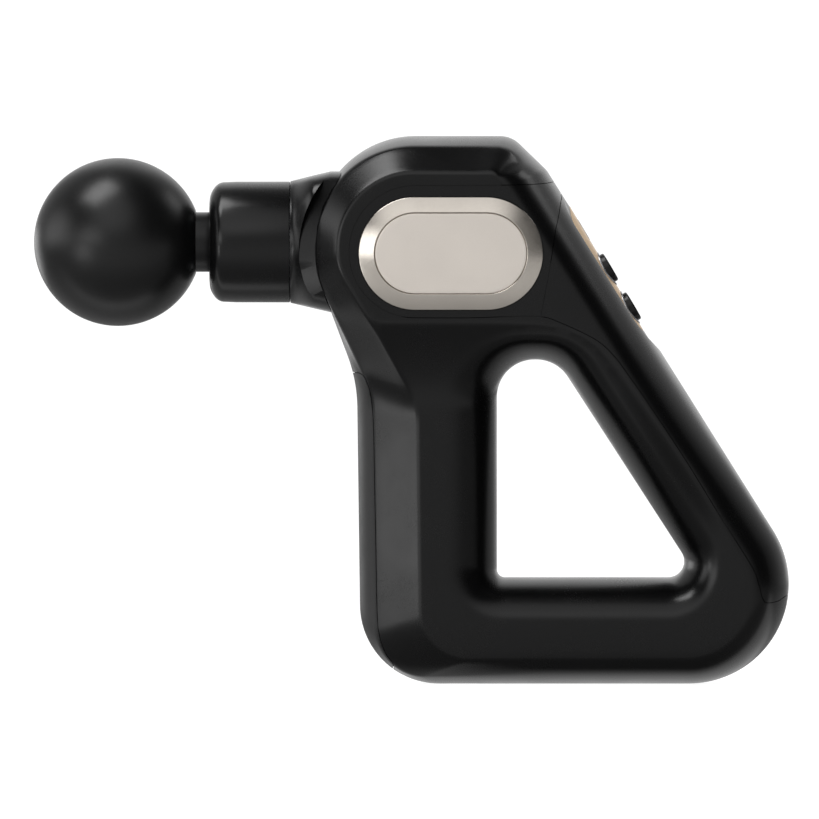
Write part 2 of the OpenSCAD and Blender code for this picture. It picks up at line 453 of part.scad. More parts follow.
module motor_board() color([0.05, 0.3, 0.14]) {
  difference() {
    translate([-18, -21, -22]) cube([43, 1.6, 36]);
    for (p = spacer_at) ycyl(1.25, -22, -18, p.x, p.y);
  }
  for (z = [-5.5, 9]) ycyl(3.6, -19.5, -10, 15, z);
  for (x = [-11, -4, 3], z = [-15, 7]) translate([x, -19.5, z]) cube([5, 1.6, 6]);
  translate([0, -19.5, -6]) cube([8, 1.4, 8]);
  translate([14, -19.5, -17]) cube([7, 5, 5]);
}
spacer_at = [[-15, -19], [-15, 11], [22, -19], [20, 9]];
module board_spacers() color([0.2, 0.2, 0.2]) {
  for (p = spacer_at) { ycyl(2.4, -29.75, -21.03, p.x, p.y); ycyl(1.2, -21.5, -19, p.x, p.y); }
  for (x = [4.2, 44], y = [-5, 5]) on_panel(x) translate([0, y, -9.45]) { cylinder(r = 1.5, h = 4, $fn = 32); translate([0, 0, -1.6]) cylinder(r = 0.75, h = 2, $fn = 24); }
}
module charge_port() color([0.7, 0.7, 0.72]) translate([port_x, 0, -142.9]) {
  difference() {
    linear_extrude(7.4) slot2(1.6, -2.87, 2.87);
    translate([0, 0, -1]) linear_extrude(7.6) slot2(1.3, -2.87, 2.87);
  }
  translate([-2.3, -0.35, 1.2]) cube([4.6, 0.7, 5.8]);
}
module charge_board() color([0.05, 0.3, 0.14]) {
  translate([-9, -8, -135.45]) cube([27, 16, 1.2]);
  for (x = [-8, -3]) translate([x, 1, -134.3]) cube([4, 5, 1.8]);
  translate([11, -7, -134.3]) cube([5, 5, 3]);
}
module wire(pts, r) {
  for (i = [0:len(pts) - 2]) let (d = pts[i + 1] - pts[i], L = norm(d)) translate(pts[i]) rotate([0, acos(d.z / L), atan2(d.y, d.x)]) cylinder(r = r, h = L, $fn = 10);
  for (i = [1:len(pts) - 2]) translate(pts[i]) sphere(r = r, $fn = 10);
}
module wiring() color([0.7, 0.1, 0.08]) {
  for (a = [-14, 0, 14]) wire([[14.8 * cos(a), 13.9, 14.8 * sin(a)], [25 * cos(a), 13.9, 25 * sin(a)], [25 * cos(a), -12, 25 * sin(a)], [22, -14, 10 * sin(a)], [22, -19.2, 10 * sin(a)]], 0.7);
  for (x = [-8, -1]) wire([[x, 0, cell_top + 2.7], [x, -2, -48], [x, -17, -41], [x, -22.3, -26], [x, -22.3, -17]], 1.1);
  for (y = [-4, -2]) wire([[42, y, -26], [34, y - 6, -20], [27, -16, -8 + y], [23, -16.5, -5 + y], [23, -19.2, -5 + y]], 0.6);
  wire([[3, -4, -122.6], [0, -5, -126], [0, -5, -134.1]], 0.9);
}

stand() shell_left();
stand() shell_right();
stand() head_saddle();
stand() rear_cover();
stand() grip_strip();
stand() badge_ring_left();
stand() badge_ring_right();
stand() badge_plate_left();
stand() badge_plate_right();
stand() neck_cone();
stand() nose_collar();
stand() front_seal();
stand() guide_bush();
stand() drive_frame();
stand() frame_screws();
stand() shell_screws();
stand() motor_base();
stand() motor_stator();
stand() motor_windings();
stand() motor_screws();
stand() bearing_outer_races();
stand() bearing_inner_races();
stand() bearing_balls();
stand() motor_shaft();
stand() rotor_can();
stand() rotor_magnets();
stand() crank();
stand() crank_retainer();
stand() rod_bearing_inner();
stand() rod_bearing_balls();
stand() connecting_rod();
stand() rod_bearing_outer();
stand() small_end_bush();
stand() plunger();
stand() wrist_pins();
stand() ball_cover();
stand() head_stem();
stand() shank_o_rings();
stand() control_panel();
stand() button_rings();
stand() indicator_lens();
stand() control_board();
stand() switch_bodies();
stand() indicator_leds();
stand() power_button();
stand() power_switch_stem();
stand() speed_button();
stand() speed_switch_stem();
stand() battery_cells();
stand() battery_holder();
stand() battery_tabs();
stand() motor_board();
stand() board_spacers();
stand() charge_port();
stand() charge_board();
stand() wiring();
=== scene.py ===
import json
import math

import bpy
import numpy as np
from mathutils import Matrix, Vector
from mathutils.bvhtree import BVHTree
from mathutils.geometry import delaunay_2d_cdt


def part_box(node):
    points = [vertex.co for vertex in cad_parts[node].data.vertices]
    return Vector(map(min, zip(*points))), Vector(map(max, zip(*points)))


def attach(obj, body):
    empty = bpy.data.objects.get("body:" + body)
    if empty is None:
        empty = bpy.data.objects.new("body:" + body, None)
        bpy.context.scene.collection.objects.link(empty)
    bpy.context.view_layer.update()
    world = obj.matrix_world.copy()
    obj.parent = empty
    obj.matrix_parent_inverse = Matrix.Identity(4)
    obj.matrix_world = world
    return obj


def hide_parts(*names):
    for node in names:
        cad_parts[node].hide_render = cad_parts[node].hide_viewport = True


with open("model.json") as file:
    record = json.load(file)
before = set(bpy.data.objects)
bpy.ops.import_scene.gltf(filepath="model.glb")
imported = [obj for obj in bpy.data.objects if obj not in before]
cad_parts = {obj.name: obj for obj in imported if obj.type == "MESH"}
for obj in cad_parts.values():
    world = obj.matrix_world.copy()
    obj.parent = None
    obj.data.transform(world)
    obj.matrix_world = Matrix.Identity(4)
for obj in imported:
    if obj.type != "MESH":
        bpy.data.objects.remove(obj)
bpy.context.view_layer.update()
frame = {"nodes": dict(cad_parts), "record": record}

MM = 0.001
NODES = frame["nodes"]
T_HEAD, T_GRIP, WALL, SEAM = 32.0, 21.0, 2.2, 0.22
BADGE_X = (-8.1, 14.9)
BADGE_Z = -4.2
_lo, _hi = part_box("motor_shaft")
OFF = np.array([(_lo[0] + _hi[0]) / 2, 0.0, (_lo[2] + _hi[2]) / 2])   # everything below is drawn about the crank axis

# ----------------------------------------------------------------------------- small helpers


def smooth01(t):
    t = np.clip(t, 0.0, 1.0)
    return t * t * (3 - 2 * t)


def arc(cs, i, na):
    m = len(cs)
    p, b, d = (np.array(cs[j % m][:2], float) for j in (i - 1, i, i + 1))
    r = cs[i][2]
    u1, u2 = (b - p) / np.linalg.norm(b - p), (d - b) / np.linalg.norm(d - b)
    s = -1.0 if u1[0] * u2[1] - u1[1] * u2[0] < 0 else 1.0
    ph = math.acos(max(-1, min(1, float(u1 @ u2))))
    st = b - u1 * r * math.tan(ph / 2)
    ce = st + np.array([-u1[1], u1[0]]) * s * r
    out = []
    for k in range(na + 1):
        a = s * ph * k / na
        v = st - ce
        out.append(ce + np.array([v[0] * math.cos(a) - v[1] * math.sin(a), v[0] * math.sin(a) + v[1] * math.cos(a)]))
    return out


def ring(cs, na, ns):
    """Closed rounded polygon with na[i] steps in corner i and ns[i] points inside edge i."""
    arcs = [arc(cs, i, na[i]) for i in range(len(cs))]
    out = []
    for i, a in enumerate(arcs):
        out += a
        q, w = a[-1], arcs[(i + 1) % len(arcs)][0]
        out += [q + (w - q) * k / (ns[i] + 1) for k in range(1, ns[i] + 1)]
    return np.array(out)


def inset(cs, ds):
    m = len(cs)
    ds = [ds] * m if isinstance(ds, (int, float)) else ds
    out = []
    for i in range(m):
        p, c, q = (np.array(cs[j % m][:2], float) for j in (i - 1, i, i + 1))
        u1, u2 = (c - p) / np.linalg.norm(c - p), (q - c) / np.linalg.norm(q - c)
        n1, n2 = np.array([-u1[1], u1[0]]), np.array([-u2[1], u2[0]])
        d1, d2 = ds[i - 1], ds[i]
        t = (d2 - d1 * float(n1 @ n2)) / float(u1 @ n2)
        v = c + n1 * d1 + u1 * t
        s = -1.0 if u1[0] * u2[1] - u1[1] * u2[0] < 0 else 1.0
        out.append((v[0], v[1], max(0.6, cs[i][2] - s * (d1 + d2) / 2)))
    return out


def along(vals, na, ns):
    """One value per station: constant in a corner, easing to the next corner's value along the edge."""
    out = []
    m = len(vals)
    for i in range(m):
        out += [vals[i]] * (na[i] + 1)
        out += [vals[i] + (vals[(i + 1) % m] - vals[i]) * float(smooth01(k / (ns[i] + 1))) for k in range(1, ns[i] + 1)]
    return np.array(out, float)


def mesh_object(name, verts, faces, smooth=True):
    me = bpy.data.meshes.new(name)
    me.from_pydata([tuple(np.asarray(v, float) + OFF) for v in verts], [], [tuple(int(i) for i in f) for f in faces])
    me.validate(verbose=False)
    me.update()
    if smooth:
        me.polygons.foreach_set("use_smooth", [True] * len(me.polygons))
    o = bpy.data.objects.new(name, me)
    bpy.context.scene.collection.objects.link(o)
    return o


def fresh_mesh(o):
    dg = bpy.context.evaluated_depsgraph_get()
    me = bpy.data.meshes.new_from_object(o.evaluated_get(dg))
    o.modifiers.clear()
    old, o.data = o.data, me
    me.name = o.name
    if old.users == 0:
        bpy.data.meshes.remove(old)
    return o


def boolean(o, cutter, op="DIFFERENCE", remove=True):
    m = o.modifiers.new("cut", "BOOLEAN")
    m.operation, m.solver, m.object = op, "MANIFOLD", cutter
    fresh_mesh(o)
    if remove:
        drop(cutter)
    return o


def drop(o):
    me = o.data
    bpy.data.objects.remove(o)
    if me.users == 0:
        bpy.data.meshes.remove(me)


def copy(o, name):
    c = bpy.data.objects.new(name, o.data.copy())
    bpy.context.scene.collection.objects.link(c)
    return c


def lathe(name, prof, axis="X", centre=(0, 0, 0), n=128, closed=True):
    """Turns a closed profile of (position along axis, radius) points; points on the axis are shared."""
    verts, rows = [], []
    for a, r in prof:
        if r < 1e-6:
            rows.append([len(verts)] * n)
            verts.append((a, 0.0, 0.0))
        else:
            rows.append(list(range(len(verts), len(verts) + n)))
            verts += [(a, r * math.cos(2 * math.pi * k / n), r * math.sin(2 * math.pi * k / n)) for k in range(n)]
    faces = []
    m = len(rows)
    for i in range(m if closed else m - 1):
        p, q = rows[i], rows[(i + 1) % m]
        for k in range(n):
            f = [p[k], p[(k + 1) % n], q[(k + 1) % n], q[k]]
            f = [v for j, v in enumerate(f) if v != f[j - 1]]
            if len(set(f)) >= 3:
                faces.append(f)
    c = np.array(centre, float)
    out = []
    for a, y, z in verts:
        v = np.array([a, y, z]) if axis == "X" else np.array([y, a, z])
        out.append((v + c) * MM)
    return fix_normals(mesh_object(name, out, faces))


def fix_normals(o):
    import bmesh
    bm = bmesh.new()
    bm.from_mesh(o.data)
    bmesh.ops.remove_doubles(bm, verts=bm.verts, dist=1e-8)
    bmesh.ops.recalc_face_normals(bm, faces=bm.faces)
    if bm.calc_volume(signed=True) < 0:
        bmesh.ops.reverse_faces(bm, faces=bm.faces)
    bm.to_mesh(o.data)
    bm.free()
    o.data.update()
    return o


def sharpen(o, angle=32):
    """Smooth shading with hard edges above an angle."""
    me = o.data
    me.polygons.foreach_set("use_smooth", [True] * len(me.polygons))
    me.set_sharp_from_angle(angle=math.radians(angle))
    return o


def rounded(pts, radii, step=5):
    """Rounds the corners of a closed 2D polygon; radii is one number or one for each corner."""
    m = len(pts)
    radii = [radii] * m if isinstance(radii, (int, float)) else radii
    out = []
    for i in range(m):
        p, c, q = (np.array(pts[j % m], float) for j in (i - 1, i, i + 1))
        r = radii[i]
        if r <= 0:
            out.append(c)
            continue
        u1, u2 = (p - c) / np.linalg.norm(p - c), (q - c) / np.linalg.norm(q - c)
        half = math.acos(max(-1, min(1, float(u1 @ u2)))) / 2
        d = min(r / math.tan(half), 0.49 * np.linalg.norm(p - c), 0.49 * np.linalg.norm(q - c))
        a, b = c + u1 * d, c + u2 * d
        for k in range(step + 1):
            t = k / step
            out.append(a * (1 - t) ** 2 + c * 2 * t * (1 - t) + b * t * t)
    return [tuple(v) for v in out]


def spline(pts, step=0.8):
    """Catmull-Rom through open points, sampled about every step mm."""
    p = [np.array(v, float) for v in pts]
    p = [2 * p[0] - p[1]] + p + [2 * p[-1] - p[-2]]
    out = []
    for i in range(1, len(p) - 2):
        n = max(1, int(np.linalg.norm(p[i + 1] - p[i]) / step))
        for k in range(n):
            t = k / n
            out.append(0.5 * (2 * p[i] + (p[i + 1] - p[i - 1]) * t + (2 * p[i - 1] - 5 * p[i] + 4 * p[i + 1] - p[i + 2]) * t * t
                              + (3 * p[i] - p[i - 1] - 3 * p[i + 1] + p[i + 2]) * t ** 3))
    out.append(p[-2])
    return out


def offset_poly(pts, d):
    """Moves a closed 2D polygon outwards by d."""
    p = np.array(pts, float)
    area = 0.5 * np.sum(p[:, 0] * np.roll(p[:, 1], -1) - np.roll(p[:, 0], -1) * p[:, 1])
    s = 1.0 if area > 0 else -1.0
    a, b = p - np.roll(p, 1, 0), np.roll(p, -1, 0) - p
    a /= np.linalg.norm(a, axis=1)[:, None]
    b /= np.linalg.norm(b, axis=1)[:, None]
    n = np.stack([a[:, 1] + b[:, 1], -(a[:, 0] + b[:, 0])], 1) * s
    n /= np.linalg.norm(n, axis=1)[:, None]
    c = np.clip(np.sum(n * np.stack([a[:, 1], -a[:, 0]], 1) * s, axis=1), 0.5, 1)
    return p + n * (d / c)[:, None]


def prism(name, pts, y0, y1):
    p = [tuple(v) for v in pts]
    n = len(p)
    verts = [(x * MM, y0 * MM, z * MM) for x, z in p] + [(x * MM, y1 * MM, z * MM) for x, z in p]
    faces = [list(range(n)), list(range(2 * n - 1, n - 1, -1))] + [[i, (i + 1) % n, n + (i + 1) % n, n + i] for i in range(n)]
    return fix_normals(mesh_object(name, verts, faces, smooth=False))


def pill(r, x0, x1, z, n=48):
    out = []
    for k in range(n + 1):
        a = math.pi / 2 - math.pi * k / n
        out.append((x1 + r * math.cos(a), z + r * math.sin(a)))
    for k in range(n + 1):
        a = -math.pi / 2 - math.pi * k / n
        out.append((x0 + r * math.cos(a), z + r * math.sin(a)))
    return out


# ----------------------------------------------------------------------------- casing surface

NA = [10, 36, 12, 16, 32, 48, 6]
NS = [28, 6, 12, 40, 56, 96, 8]
RING_S = [(23.2, 34.45, 9), (-40.4, 34.45, 32.5), (-40.4, -9.6, 32), (-27, -45, 50), (-25.7, -143.5, 25.7), (139.6, -143.5, 32.4), (34.7, 23.3, 8)]
RING_A = [(21.2, 30.55, 8), (-40.4, 30.55, 32), (-40.4, -11.4, 32), (-21.9, -49.2, 28), (-20.7, -141, 16), (131.4, -141, 30), (29.2, 22.9, 8)]
RING_B = [(17.5, 22.1, 4), (-33.2, 22.1, 24.4), (-33.2, -8, 19), (-7.2, -52.6, 26), (-6.2, -135.8, 15.5), (119.2, -135.6, 22), (21.5, 18.3, 4)]
Y_A = [22, 24, 24, 13, 13, 14.5, 16.5]
FACET = [0.0, 1, 1, 1, 1, 0, 0]        # 1 = chamfered section, 0 = rounded section
STEP_LINE = spline([(-70, -26.8), (-30, -26.8), (10, -26.8), (22, -26.95), (33, -27.6), (41.5, -29.4), (50.0, -33.4), (57.8, -40.6), (64.0, -49.0), (72, -61.5), (92, -93.5), (104, -113), (112, -126)], 1.2)
_SL = np.array(STEP_LINE)


def below_step(x, z):
    """Distance below the step line, positive on the grip side."""
    p = np.stack([np.asarray(x, float), np.asarray(z, float)], -1)
    shape = p.shape[:-1]
    p = p.reshape(-1, 2)
    a, b = _SL[:-1], _SL[1:]
    ab = b - a
    t = np.clip(((p[:, None] - a) * ab).sum(-1) / (ab ** 2).sum(-1), 0, 1)
    q = a + ab * t[..., None]
    d = np.linalg.norm(p[:, None] - q, axis=-1)
    i = d.argmin(1)
    k = np.arange(len(p))
    side = ab[i, 0] * (p[:, 1] - a[i, 1]) - ab[i, 1] * (p[:, 0] - a[i, 0])
    return (np.where(side < 0, 1.0, -1.0) * d[k, i]).reshape(shape)


def thickness(x, z):
    """Half thickness of the flat side at a point of the side view."""
    x, z = np.asarray(x, float), np.asarray(z, float)
    d = below_step(x, z)
    soft = 0.5
    d = soft * np.logaddexp(0, d / soft)          # rounds the crease at the step line
    s = np.clip(d / 30.0, 0, 1)
    f1 = (1 - s) ** 2 * (1 - smooth01((-40 - z) / 62.0))
    f2 = 1 - smooth01((-30 - z) / 62.0)
    side = (x - 50.5) * 0.8434 + (z + 40) * 0.5373  # distance to the right of the hole's rear edge
    m = smooth01((side + 3) / 13.0)
    f = f1 + (1 - f1) * f2 * m * 0.9
    return T_GRIP + (T_HEAD - T_GRIP) * np.clip(f, 0, 1)


def bez(p0, p1, p2, p3, t):
    t = np.asarray(t)
    return p0 * (1 - t) ** 3 + 3 * p1 * t * (1 - t) ** 2 + 3 * p2 * t * t * (1 - t) + p3 * t ** 3


def skin_rings(w=0.0, fine=True):
    """Rings of 3D points, mm, from the mid plane out to the edge of the flat side."""
    na = NA if fine else [3, 8, 4, 4, 8, 10, 2]
    ns = NS if fine else [3, 1, 2, 3, 3, 4, 1]
    S, A, B = ring(inset(RING_S, w), na, ns), ring(inset(RING_A, w), na, ns), ring(inset(RING_B, w), na, ns)
    E = ring(inset(RING_B, w + 1.1), na, ns)
    ya = along(Y_A, na, ns) * (T_GRIP - w) / T_GRIP
    # chamfer fades out along the base behind the heel and along the top before the shoulder
    wt = along(FACET, na, ns)
    base = []
    idx = 0
    for i in range(7):
        for k in range(na[i] + 1):
            base.append((i, 0.0))
        for k in range(ns[i]):
            base.append((i, (k + 1) / (ns[i] + 1)))
    for j, (i, f) in enumerate(base):
        if i == 4:
            wt[j] = 1 - float(smooth01(f / 0.42)) if f > 0 else 1.0
        if i == 0:
            wt[j] = 0.86 + 0.14 * float(smooth01(f / 0.2))
        if i == 6:
            wt[j] = 0.86 * float(smooth01((f - 0.25) / 0.75))
        if i == 3:
            wt[j] = 1.0
    k5 = along([0.55, 0.5, 0.5, 0.5, 0.62, 0.47, 0.52], na, ns)
    TB = thickness(B[:, 0], B[:, 1]) - w
    TE = thickness(E[:, 0], E[:, 1]) - w
    S3 = np.stack([S[:, 0], S[:, 1] * 0, S[:, 1]], 1)
    A3 = np.stack([A[:, 0], ya, A[:, 1]], 1)
    B3 = np.stack([B[:, 0], TB, B[:, 1]], 1)
    E3 = np.stack([E[:, 0], TE, E[:, 1]], 1)
    nb, nf = (10, 6) if fine else (2, 1)
    rows = []

    def band(g):
        v = S3 + (A3 - S3) * g ** 2.0
        v[:, 1] = ya * g
        return v

    lab = np.linalg.norm(B3 - A3, axis=1)
    cut = np.minimum(1.1, lab * 0.3)
    g_end = 0.93
    for k in range(nb + 1):
        rows.append(band(g_end * k / nb))
    p0, p2 = band(g_end), A3 + (B3 - A3) * (cut / lab)[:, None]
    nfil = 5 if fine else 1
    for k in range(1, nfil + 1):
        t = k / nfil
        rows.append(p0 * (1 - t) ** 2 + A3 * 2 * t * (1 - t) + p2 * t * t)
    q0 = B3 - (B3 - A3) * (cut / lab)[:, None]
    for k in range(1, nf + 1):
        rows.append(p2 + (q0 - p2) * k / nf)
    for k in range(1, nfil + 1):
        t = k / nfil
        rows.append(q0 * (1 - t) ** 2 + B3 * 2 * t * (1 - t) + E3 * t * t)
    m = len(rows)
    out = []
    for k, r in enumerate(rows):
        t = k / (m - 1)
        a = bez(0, 0, k5 * 0.95, 1, t)
        b = bez(0, k5, 1, 1, t)
        v = S3 + (E3 - S3) * a[:, None]
        v[:, 1] = TE * b
        out.append(v * (1 - wt)[:, None] + r * wt[:, None])
    out[-1] = E3
    out[0][:, 1] = 0
    return out


HOLE = [(37.9, -38.2, 12.2), (18.5, -38.2, 12.2), (18.5, -108.9, 2.6), (83.7, -108.9, 5.2)]
HOLE_E = [-9.0, -17.2, -14.2, -11.0]


def hole_rings(w=0.0, fine=True):
    na = [22, 22, 10, 14] if fine else [6, 6, 3, 4]
    ns = [10, 46, 42, 54] if fine else [2, 3, 3, 3]
    reach = [e if w == 0 else e * 0.72 for e in HOLE_E]
    H = ring(inset(HOLE, [e - w for e in reach]), na, ns)
    TH = thickness(H[:, 0], H[:, 1]) - w
    out = []
    n = 18 if fine else 5
    for k in range(n + 1):
        th = math.pi / 2 * k / n
        R = ring(inset(HOLE, [e * (1 - math.cos(th)) - w for e in reach]), na, ns)
        out.append(np.stack([R[:, 0], TH * math.sin(th), R[:, 1]], 1))
    return out


def point_in(poly, pts):
    x, y = pts[:, 0], pts[:, 1]
    inside = np.zeros(len(pts), bool)
    a, b = poly, np.roll(poly, -1, 0)
    for (x0, y0), (x1, y1) in zip(a, b):
        c = ((y0 > y) != (y1 > y)) & (x < (x1 - x0) * (y - y0) / (y1 - y0 + 1e-30) + x0)
        inside ^= c
    return inside


def between(P, F, src, edges, E, H):
    """Mask of the triangles between the two rings, filled outwards from triangles whose place is certain."""
    back = {s: i for i, s in enumerate(src) if s >= 0}
    walls = {frozenset((back[a], back[b])) for a, b in edges if a in back and b in back}
    link, root = {}, list(range(len(F)))

    def find(i):
        while root[i] != i:
            root[i] = root[root[i]]
            i = root[i]
        return i
    for k, f in enumerate(F):
        for a, b in ((f[0], f[1]), (f[1], f[2]), (f[2], f[0])):
            key = frozenset((int(a), int(b)))
            if key in walls:
                continue
            if key in link:
                root[find(k)] = find(link[key])
            else:
                link[key] = k
    sides = {}
    for k, f in enumerate(F):
        for a, b in ((f[0], f[1]), (f[1], f[2]), (f[2], f[0])):
            sides.setdefault(frozenset((int(a), int(b))), []).append(k)
    open_air = {find(v[0]) for e, v in sides.items() if len(v) == 1 and e not in walls}
    t = P[F]
    area2 = np.abs((t[:, 1, 0] - t[:, 0, 0]) * (t[:, 2, 1] - t[:, 0, 1]) - (t[:, 1, 1] - t[:, 0, 1]) * (t[:, 2, 0] - t[:, 0, 0]))
    cen = t.mean(1)
    inside = point_in(E, cen) & ~point_in(H, cen)
    best = {}
    for k in range(len(F)):
        r = find(k)
        if r not in best or area2[k] > area2[best[r]]:
            best[r] = k
    return np.array([find(k) not in open_air and bool(inside[best[find(k)]]) for k in range(len(F))])


def skin(name, w=0.0, fine=True):
    """The closed casing solid, moved in by w."""
    sr, hr = skin_rings(w, fine), hole_rings(w, fine)
    E, H = sr[-1][:, [0, 2]], hr[-1][:, [0, 2]]
    grid = []
    step = 2.3 if fine else 9.0
    xs = np.arange(-40, 125, step)
    zs = np.arange(-142, 35, step * 0.87)
    for j, z in enumerate(zs):
        for x in xs:
            grid.append((x + (step / 2 if j % 2 else 0), z))
    if fine:
        near = []
        c = _SL[::1]
        tn = np.gradient(c, axis=0)
        tn /= np.linalg.norm(tn, axis=1)[:, None]
        nn = np.stack([tn[:, 1], -tn[:, 0]], 1)
        for off in (-2.2, -1.2, -0.5, 0.15, 0.8, 1.6, 2.8):
            near += [tuple(v) for v in c + nn * off]
        g = np.array(grid)
        g = g[np.abs(below_step(g[:, 0], g[:, 1])) > 3.6]
        grid = [tuple(v) for v in g] + near
    g = np.array(grid)

    def dist_ring(R, p):
        d = np.full(len(p), 1e9)
        for v in R:
            d = np.minimum(d, np.hypot(p[:, 0] - v[0], p[:, 1] - v[1]))
        return d
    keep = point_in(E, g) & ~point_in(H, g)
    g = g[keep]
    g = g[(dist_ring(E, g) > step * 0.55) & (dist_ring(H, g) > step * 0.55)]
    nE, nH = len(E), len(H)
    pts = [Vector((float(a), float(b))) for a, b in np.concatenate([E, H, g])]
    edges = [(i, (i + 1) % nE) for i in range(nE)] + [(nE + i, nE + (i + 1) % nH) for i in range(nH)]
    v2, e2, f2, ov, oe, of = delaunay_2d_cdt(pts, edges, [], 0, 1e-7)
    P = np.array([(v[0], v[1]) for v in v2])
    F = np.array([f for f in f2 if len(f) == 3])
    src = [o[0] if o else -1 for o in ov]
    F = F[between(P, F, src, edges, E, H)]
    # assemble one side, then mirror
    verts, faces = [], []
    ring_ids = []
    for r in sr:
        ring_ids.append(list(range(len(verts), len(verts) + nE)))
        verts += [tuple(v) for v in r]
    hole_ids = []
    for r in hr:
        hole_ids.append(list(range(len(verts), len(verts) + nH)))
        verts += [tuple(v) for v in r]
    vid = {}
    tz = thickness(P[:, 0], P[:, 1]) - w
    for i in range(len(P)):
        s = src[i]
        if 0 <= s < nE:
            vid[i] = ring_ids[-1][s]
        elif nE <= s < nE + nH:
            vid[i] = hole_ids[-1][s - nE]
        else:
            vid[i] = len(verts)
            verts.append((P[i, 0], tz[i], P[i, 1]))
    for ids in (ring_ids, hole_ids):
        for a, b in zip(ids[:-1], ids[1:]):
            n = len(a)
            faces += [[a[i], a[(i + 1) % n], b[(i + 1) % n], b[i]] for i in range(n)]
    faces += [[vid[i] for i in f] for f in F]
    V = np.array(verts)
    n = len(V)
    zero = set(ring_ids[0]) | set(hole_ids[0])
    mir = {}
    extra = []
    for i in range(n):
        if i in zero:
            mir[i] = i
        else:
            mir[i] = n + len(extra)
            extra.append((V[i, 0], -V[i, 1], V[i, 2]))
    V = np.concatenate([V, np.array(extra)])
    faces += [[mir[i] for i in reversed(f)] for f in faces]
    used = sorted({i for f in faces for i in f})
    remap = {o: k for k, o in enumerate(used)}
    faces = [[remap[i] for i in f] for f in faces]
    return fix_normals(mesh_object(name, V[used] * MM, faces))


# ----------------------------------------------------------------------------- parting lines (X, Z)

def close_far(line, *far):
    return [tuple(v) for v in line] + list(far)


top_seam = spline([(60, 20.4), (41, 19.9), (36.9, 19.4), (33.4, 18.6), (26, 18.0), (13, 17.75), (-8.1, 17.7)])
arc_seam = [(-8.1 + 21.3 * math.cos(math.radians(a)), -3.6 + 21.3 * math.sin(math.radians(a))) for a in np.linspace(90, 270, 90)]
back_seam = spline([(32.4, -24.5), (35.3, -8.8), (37.0, 1.9), (38.4, 8.8), (39.4, 14.0), (41, 16.4), (60, 16.8)])
low_seam = spline([(-8.1, -24.9), (10, -24.9), (21.8, -24.5), (32.4, -24.5), (39, -26.6), (50, -31.9), (55.9, -37.1), (61.1, -44.0), (67.6, -53.3), (80.3, -72.5), (91.0, -89.9), (92.6, -92.3), (100.8, -105.3), (102.9, -110.6), (104.0, -114.9)], 0.8)
rear_tail = spline([(104.0, -114.9), (104.9, -116.6), (106.6, -117.0), (109.9, -116.3), (112.6, -114.7), (130, -106)], 0.5)
cut = min(range(len(low_seam)), key=lambda i: np.hypot(low_seam[i][0] - 32.4, low_seam[i][1] + 24.5))
saddle_poly = close_far(list(top_seam) + arc_seam[1:] + list(low_seam[1:cut + 1]) + list(back_seam[1:]))
rear_poly = close_far(list(low_seam[cut:]) + list(rear_tail[1:]), (160, -60), (100, 60), (60, 16.8)) + [tuple(v) for v in reversed(back_seam[1:-1])]
strip_in = spline([(-30, -42.2), (-25.6, -42.9), (-23.4, -46.5), (-22.2, -52), (-21.6, -60), (-21.2, -80), (-20.8, -100), (-20.4, -120), (-19.6, -128), (-17.6, -133.6), (-15.2, -137.2), (-16.5, -141), (-22, -147)], 0.8)
strip_poly = [tuple(v) for v in strip_in] + [(-40, -152), (-55, -148), (-55, -40), (-38, -40)]

# ----------------------------------------------------------------------------- casing pieces

outer = skin("tmp_outer")
inner = skin("tmp_inner", WALL, False)
ref = outer.data.copy()
ref.calc_loop_triangles()
_rv = np.zeros(len(ref.vertices) * 3, np.float32)
ref.vertices.foreach_get("co", _rv)
_rv = _rv.reshape(-1, 3)
_rn = np.zeros(len(ref.vertices) * 3, np.float32)
ref.vertices.foreach_get("normal", _rn)
_rn = _rn.reshape(-1, 3)
_rt = np.zeros(len(ref.loop_triangles) * 3, np.int32)
ref.loop_triangles.foreach_get("vertices", _rt)
_rt = _rt.reshape(-1, 3)
_bvh = BVHTree.FromPolygons([Vector(v) for v in _rv], [tuple(int(i) for i in t) for t in _rt])

casing = copy(outer, "tmp_casing")
boolean(casing, inner)
neck_hole = lathe("tmp_neck", [(-60, 0), (-60, 23.15), (-25, 23.15), (-25, 0)], n=160, closed=True)
boolean(casing, neck_hole)


PA = math.radians(59.3)
P_DOWN = np.array([math.cos(PA), 0, -math.sin(PA)])
P_OUT = np.array([math.sin(PA), 0, math.cos(PA)])
P_ORG = np.array([42.1, 0, 11.8])
P_LEN, P_HALF, P_CROWN = 47.4, 8.2, 16.5
KEYS = (23.8, 38.4)


def local(v):
    d = np.array(v) / MM - P_ORG
    return float(d @ P_DOWN), float(d[1]), float(d @ P_OUT)


def carve_height(s, y):
    """Height, above the panel plane, of the shallow ledge that frames the panel."""
    s, y = np.asarray(s, float), np.abs(np.asarray(y, float))
    along_axis = np.clip(s, P_HALF, P_LEN - P_HALF)
    rho = np.maximum(np.hypot(s - along_axis, y), 1e-6)
    edge = np.where(rho > 8.42, y * 8.42 / rho, y)
    d = P_CROWN - np.sqrt(P_CROWN ** 2 - np.minimum(edge, 8.42) ** 2)
    return 0.05 - d + 0.5 * np.maximum(rho - 14.8, 0) ** 2


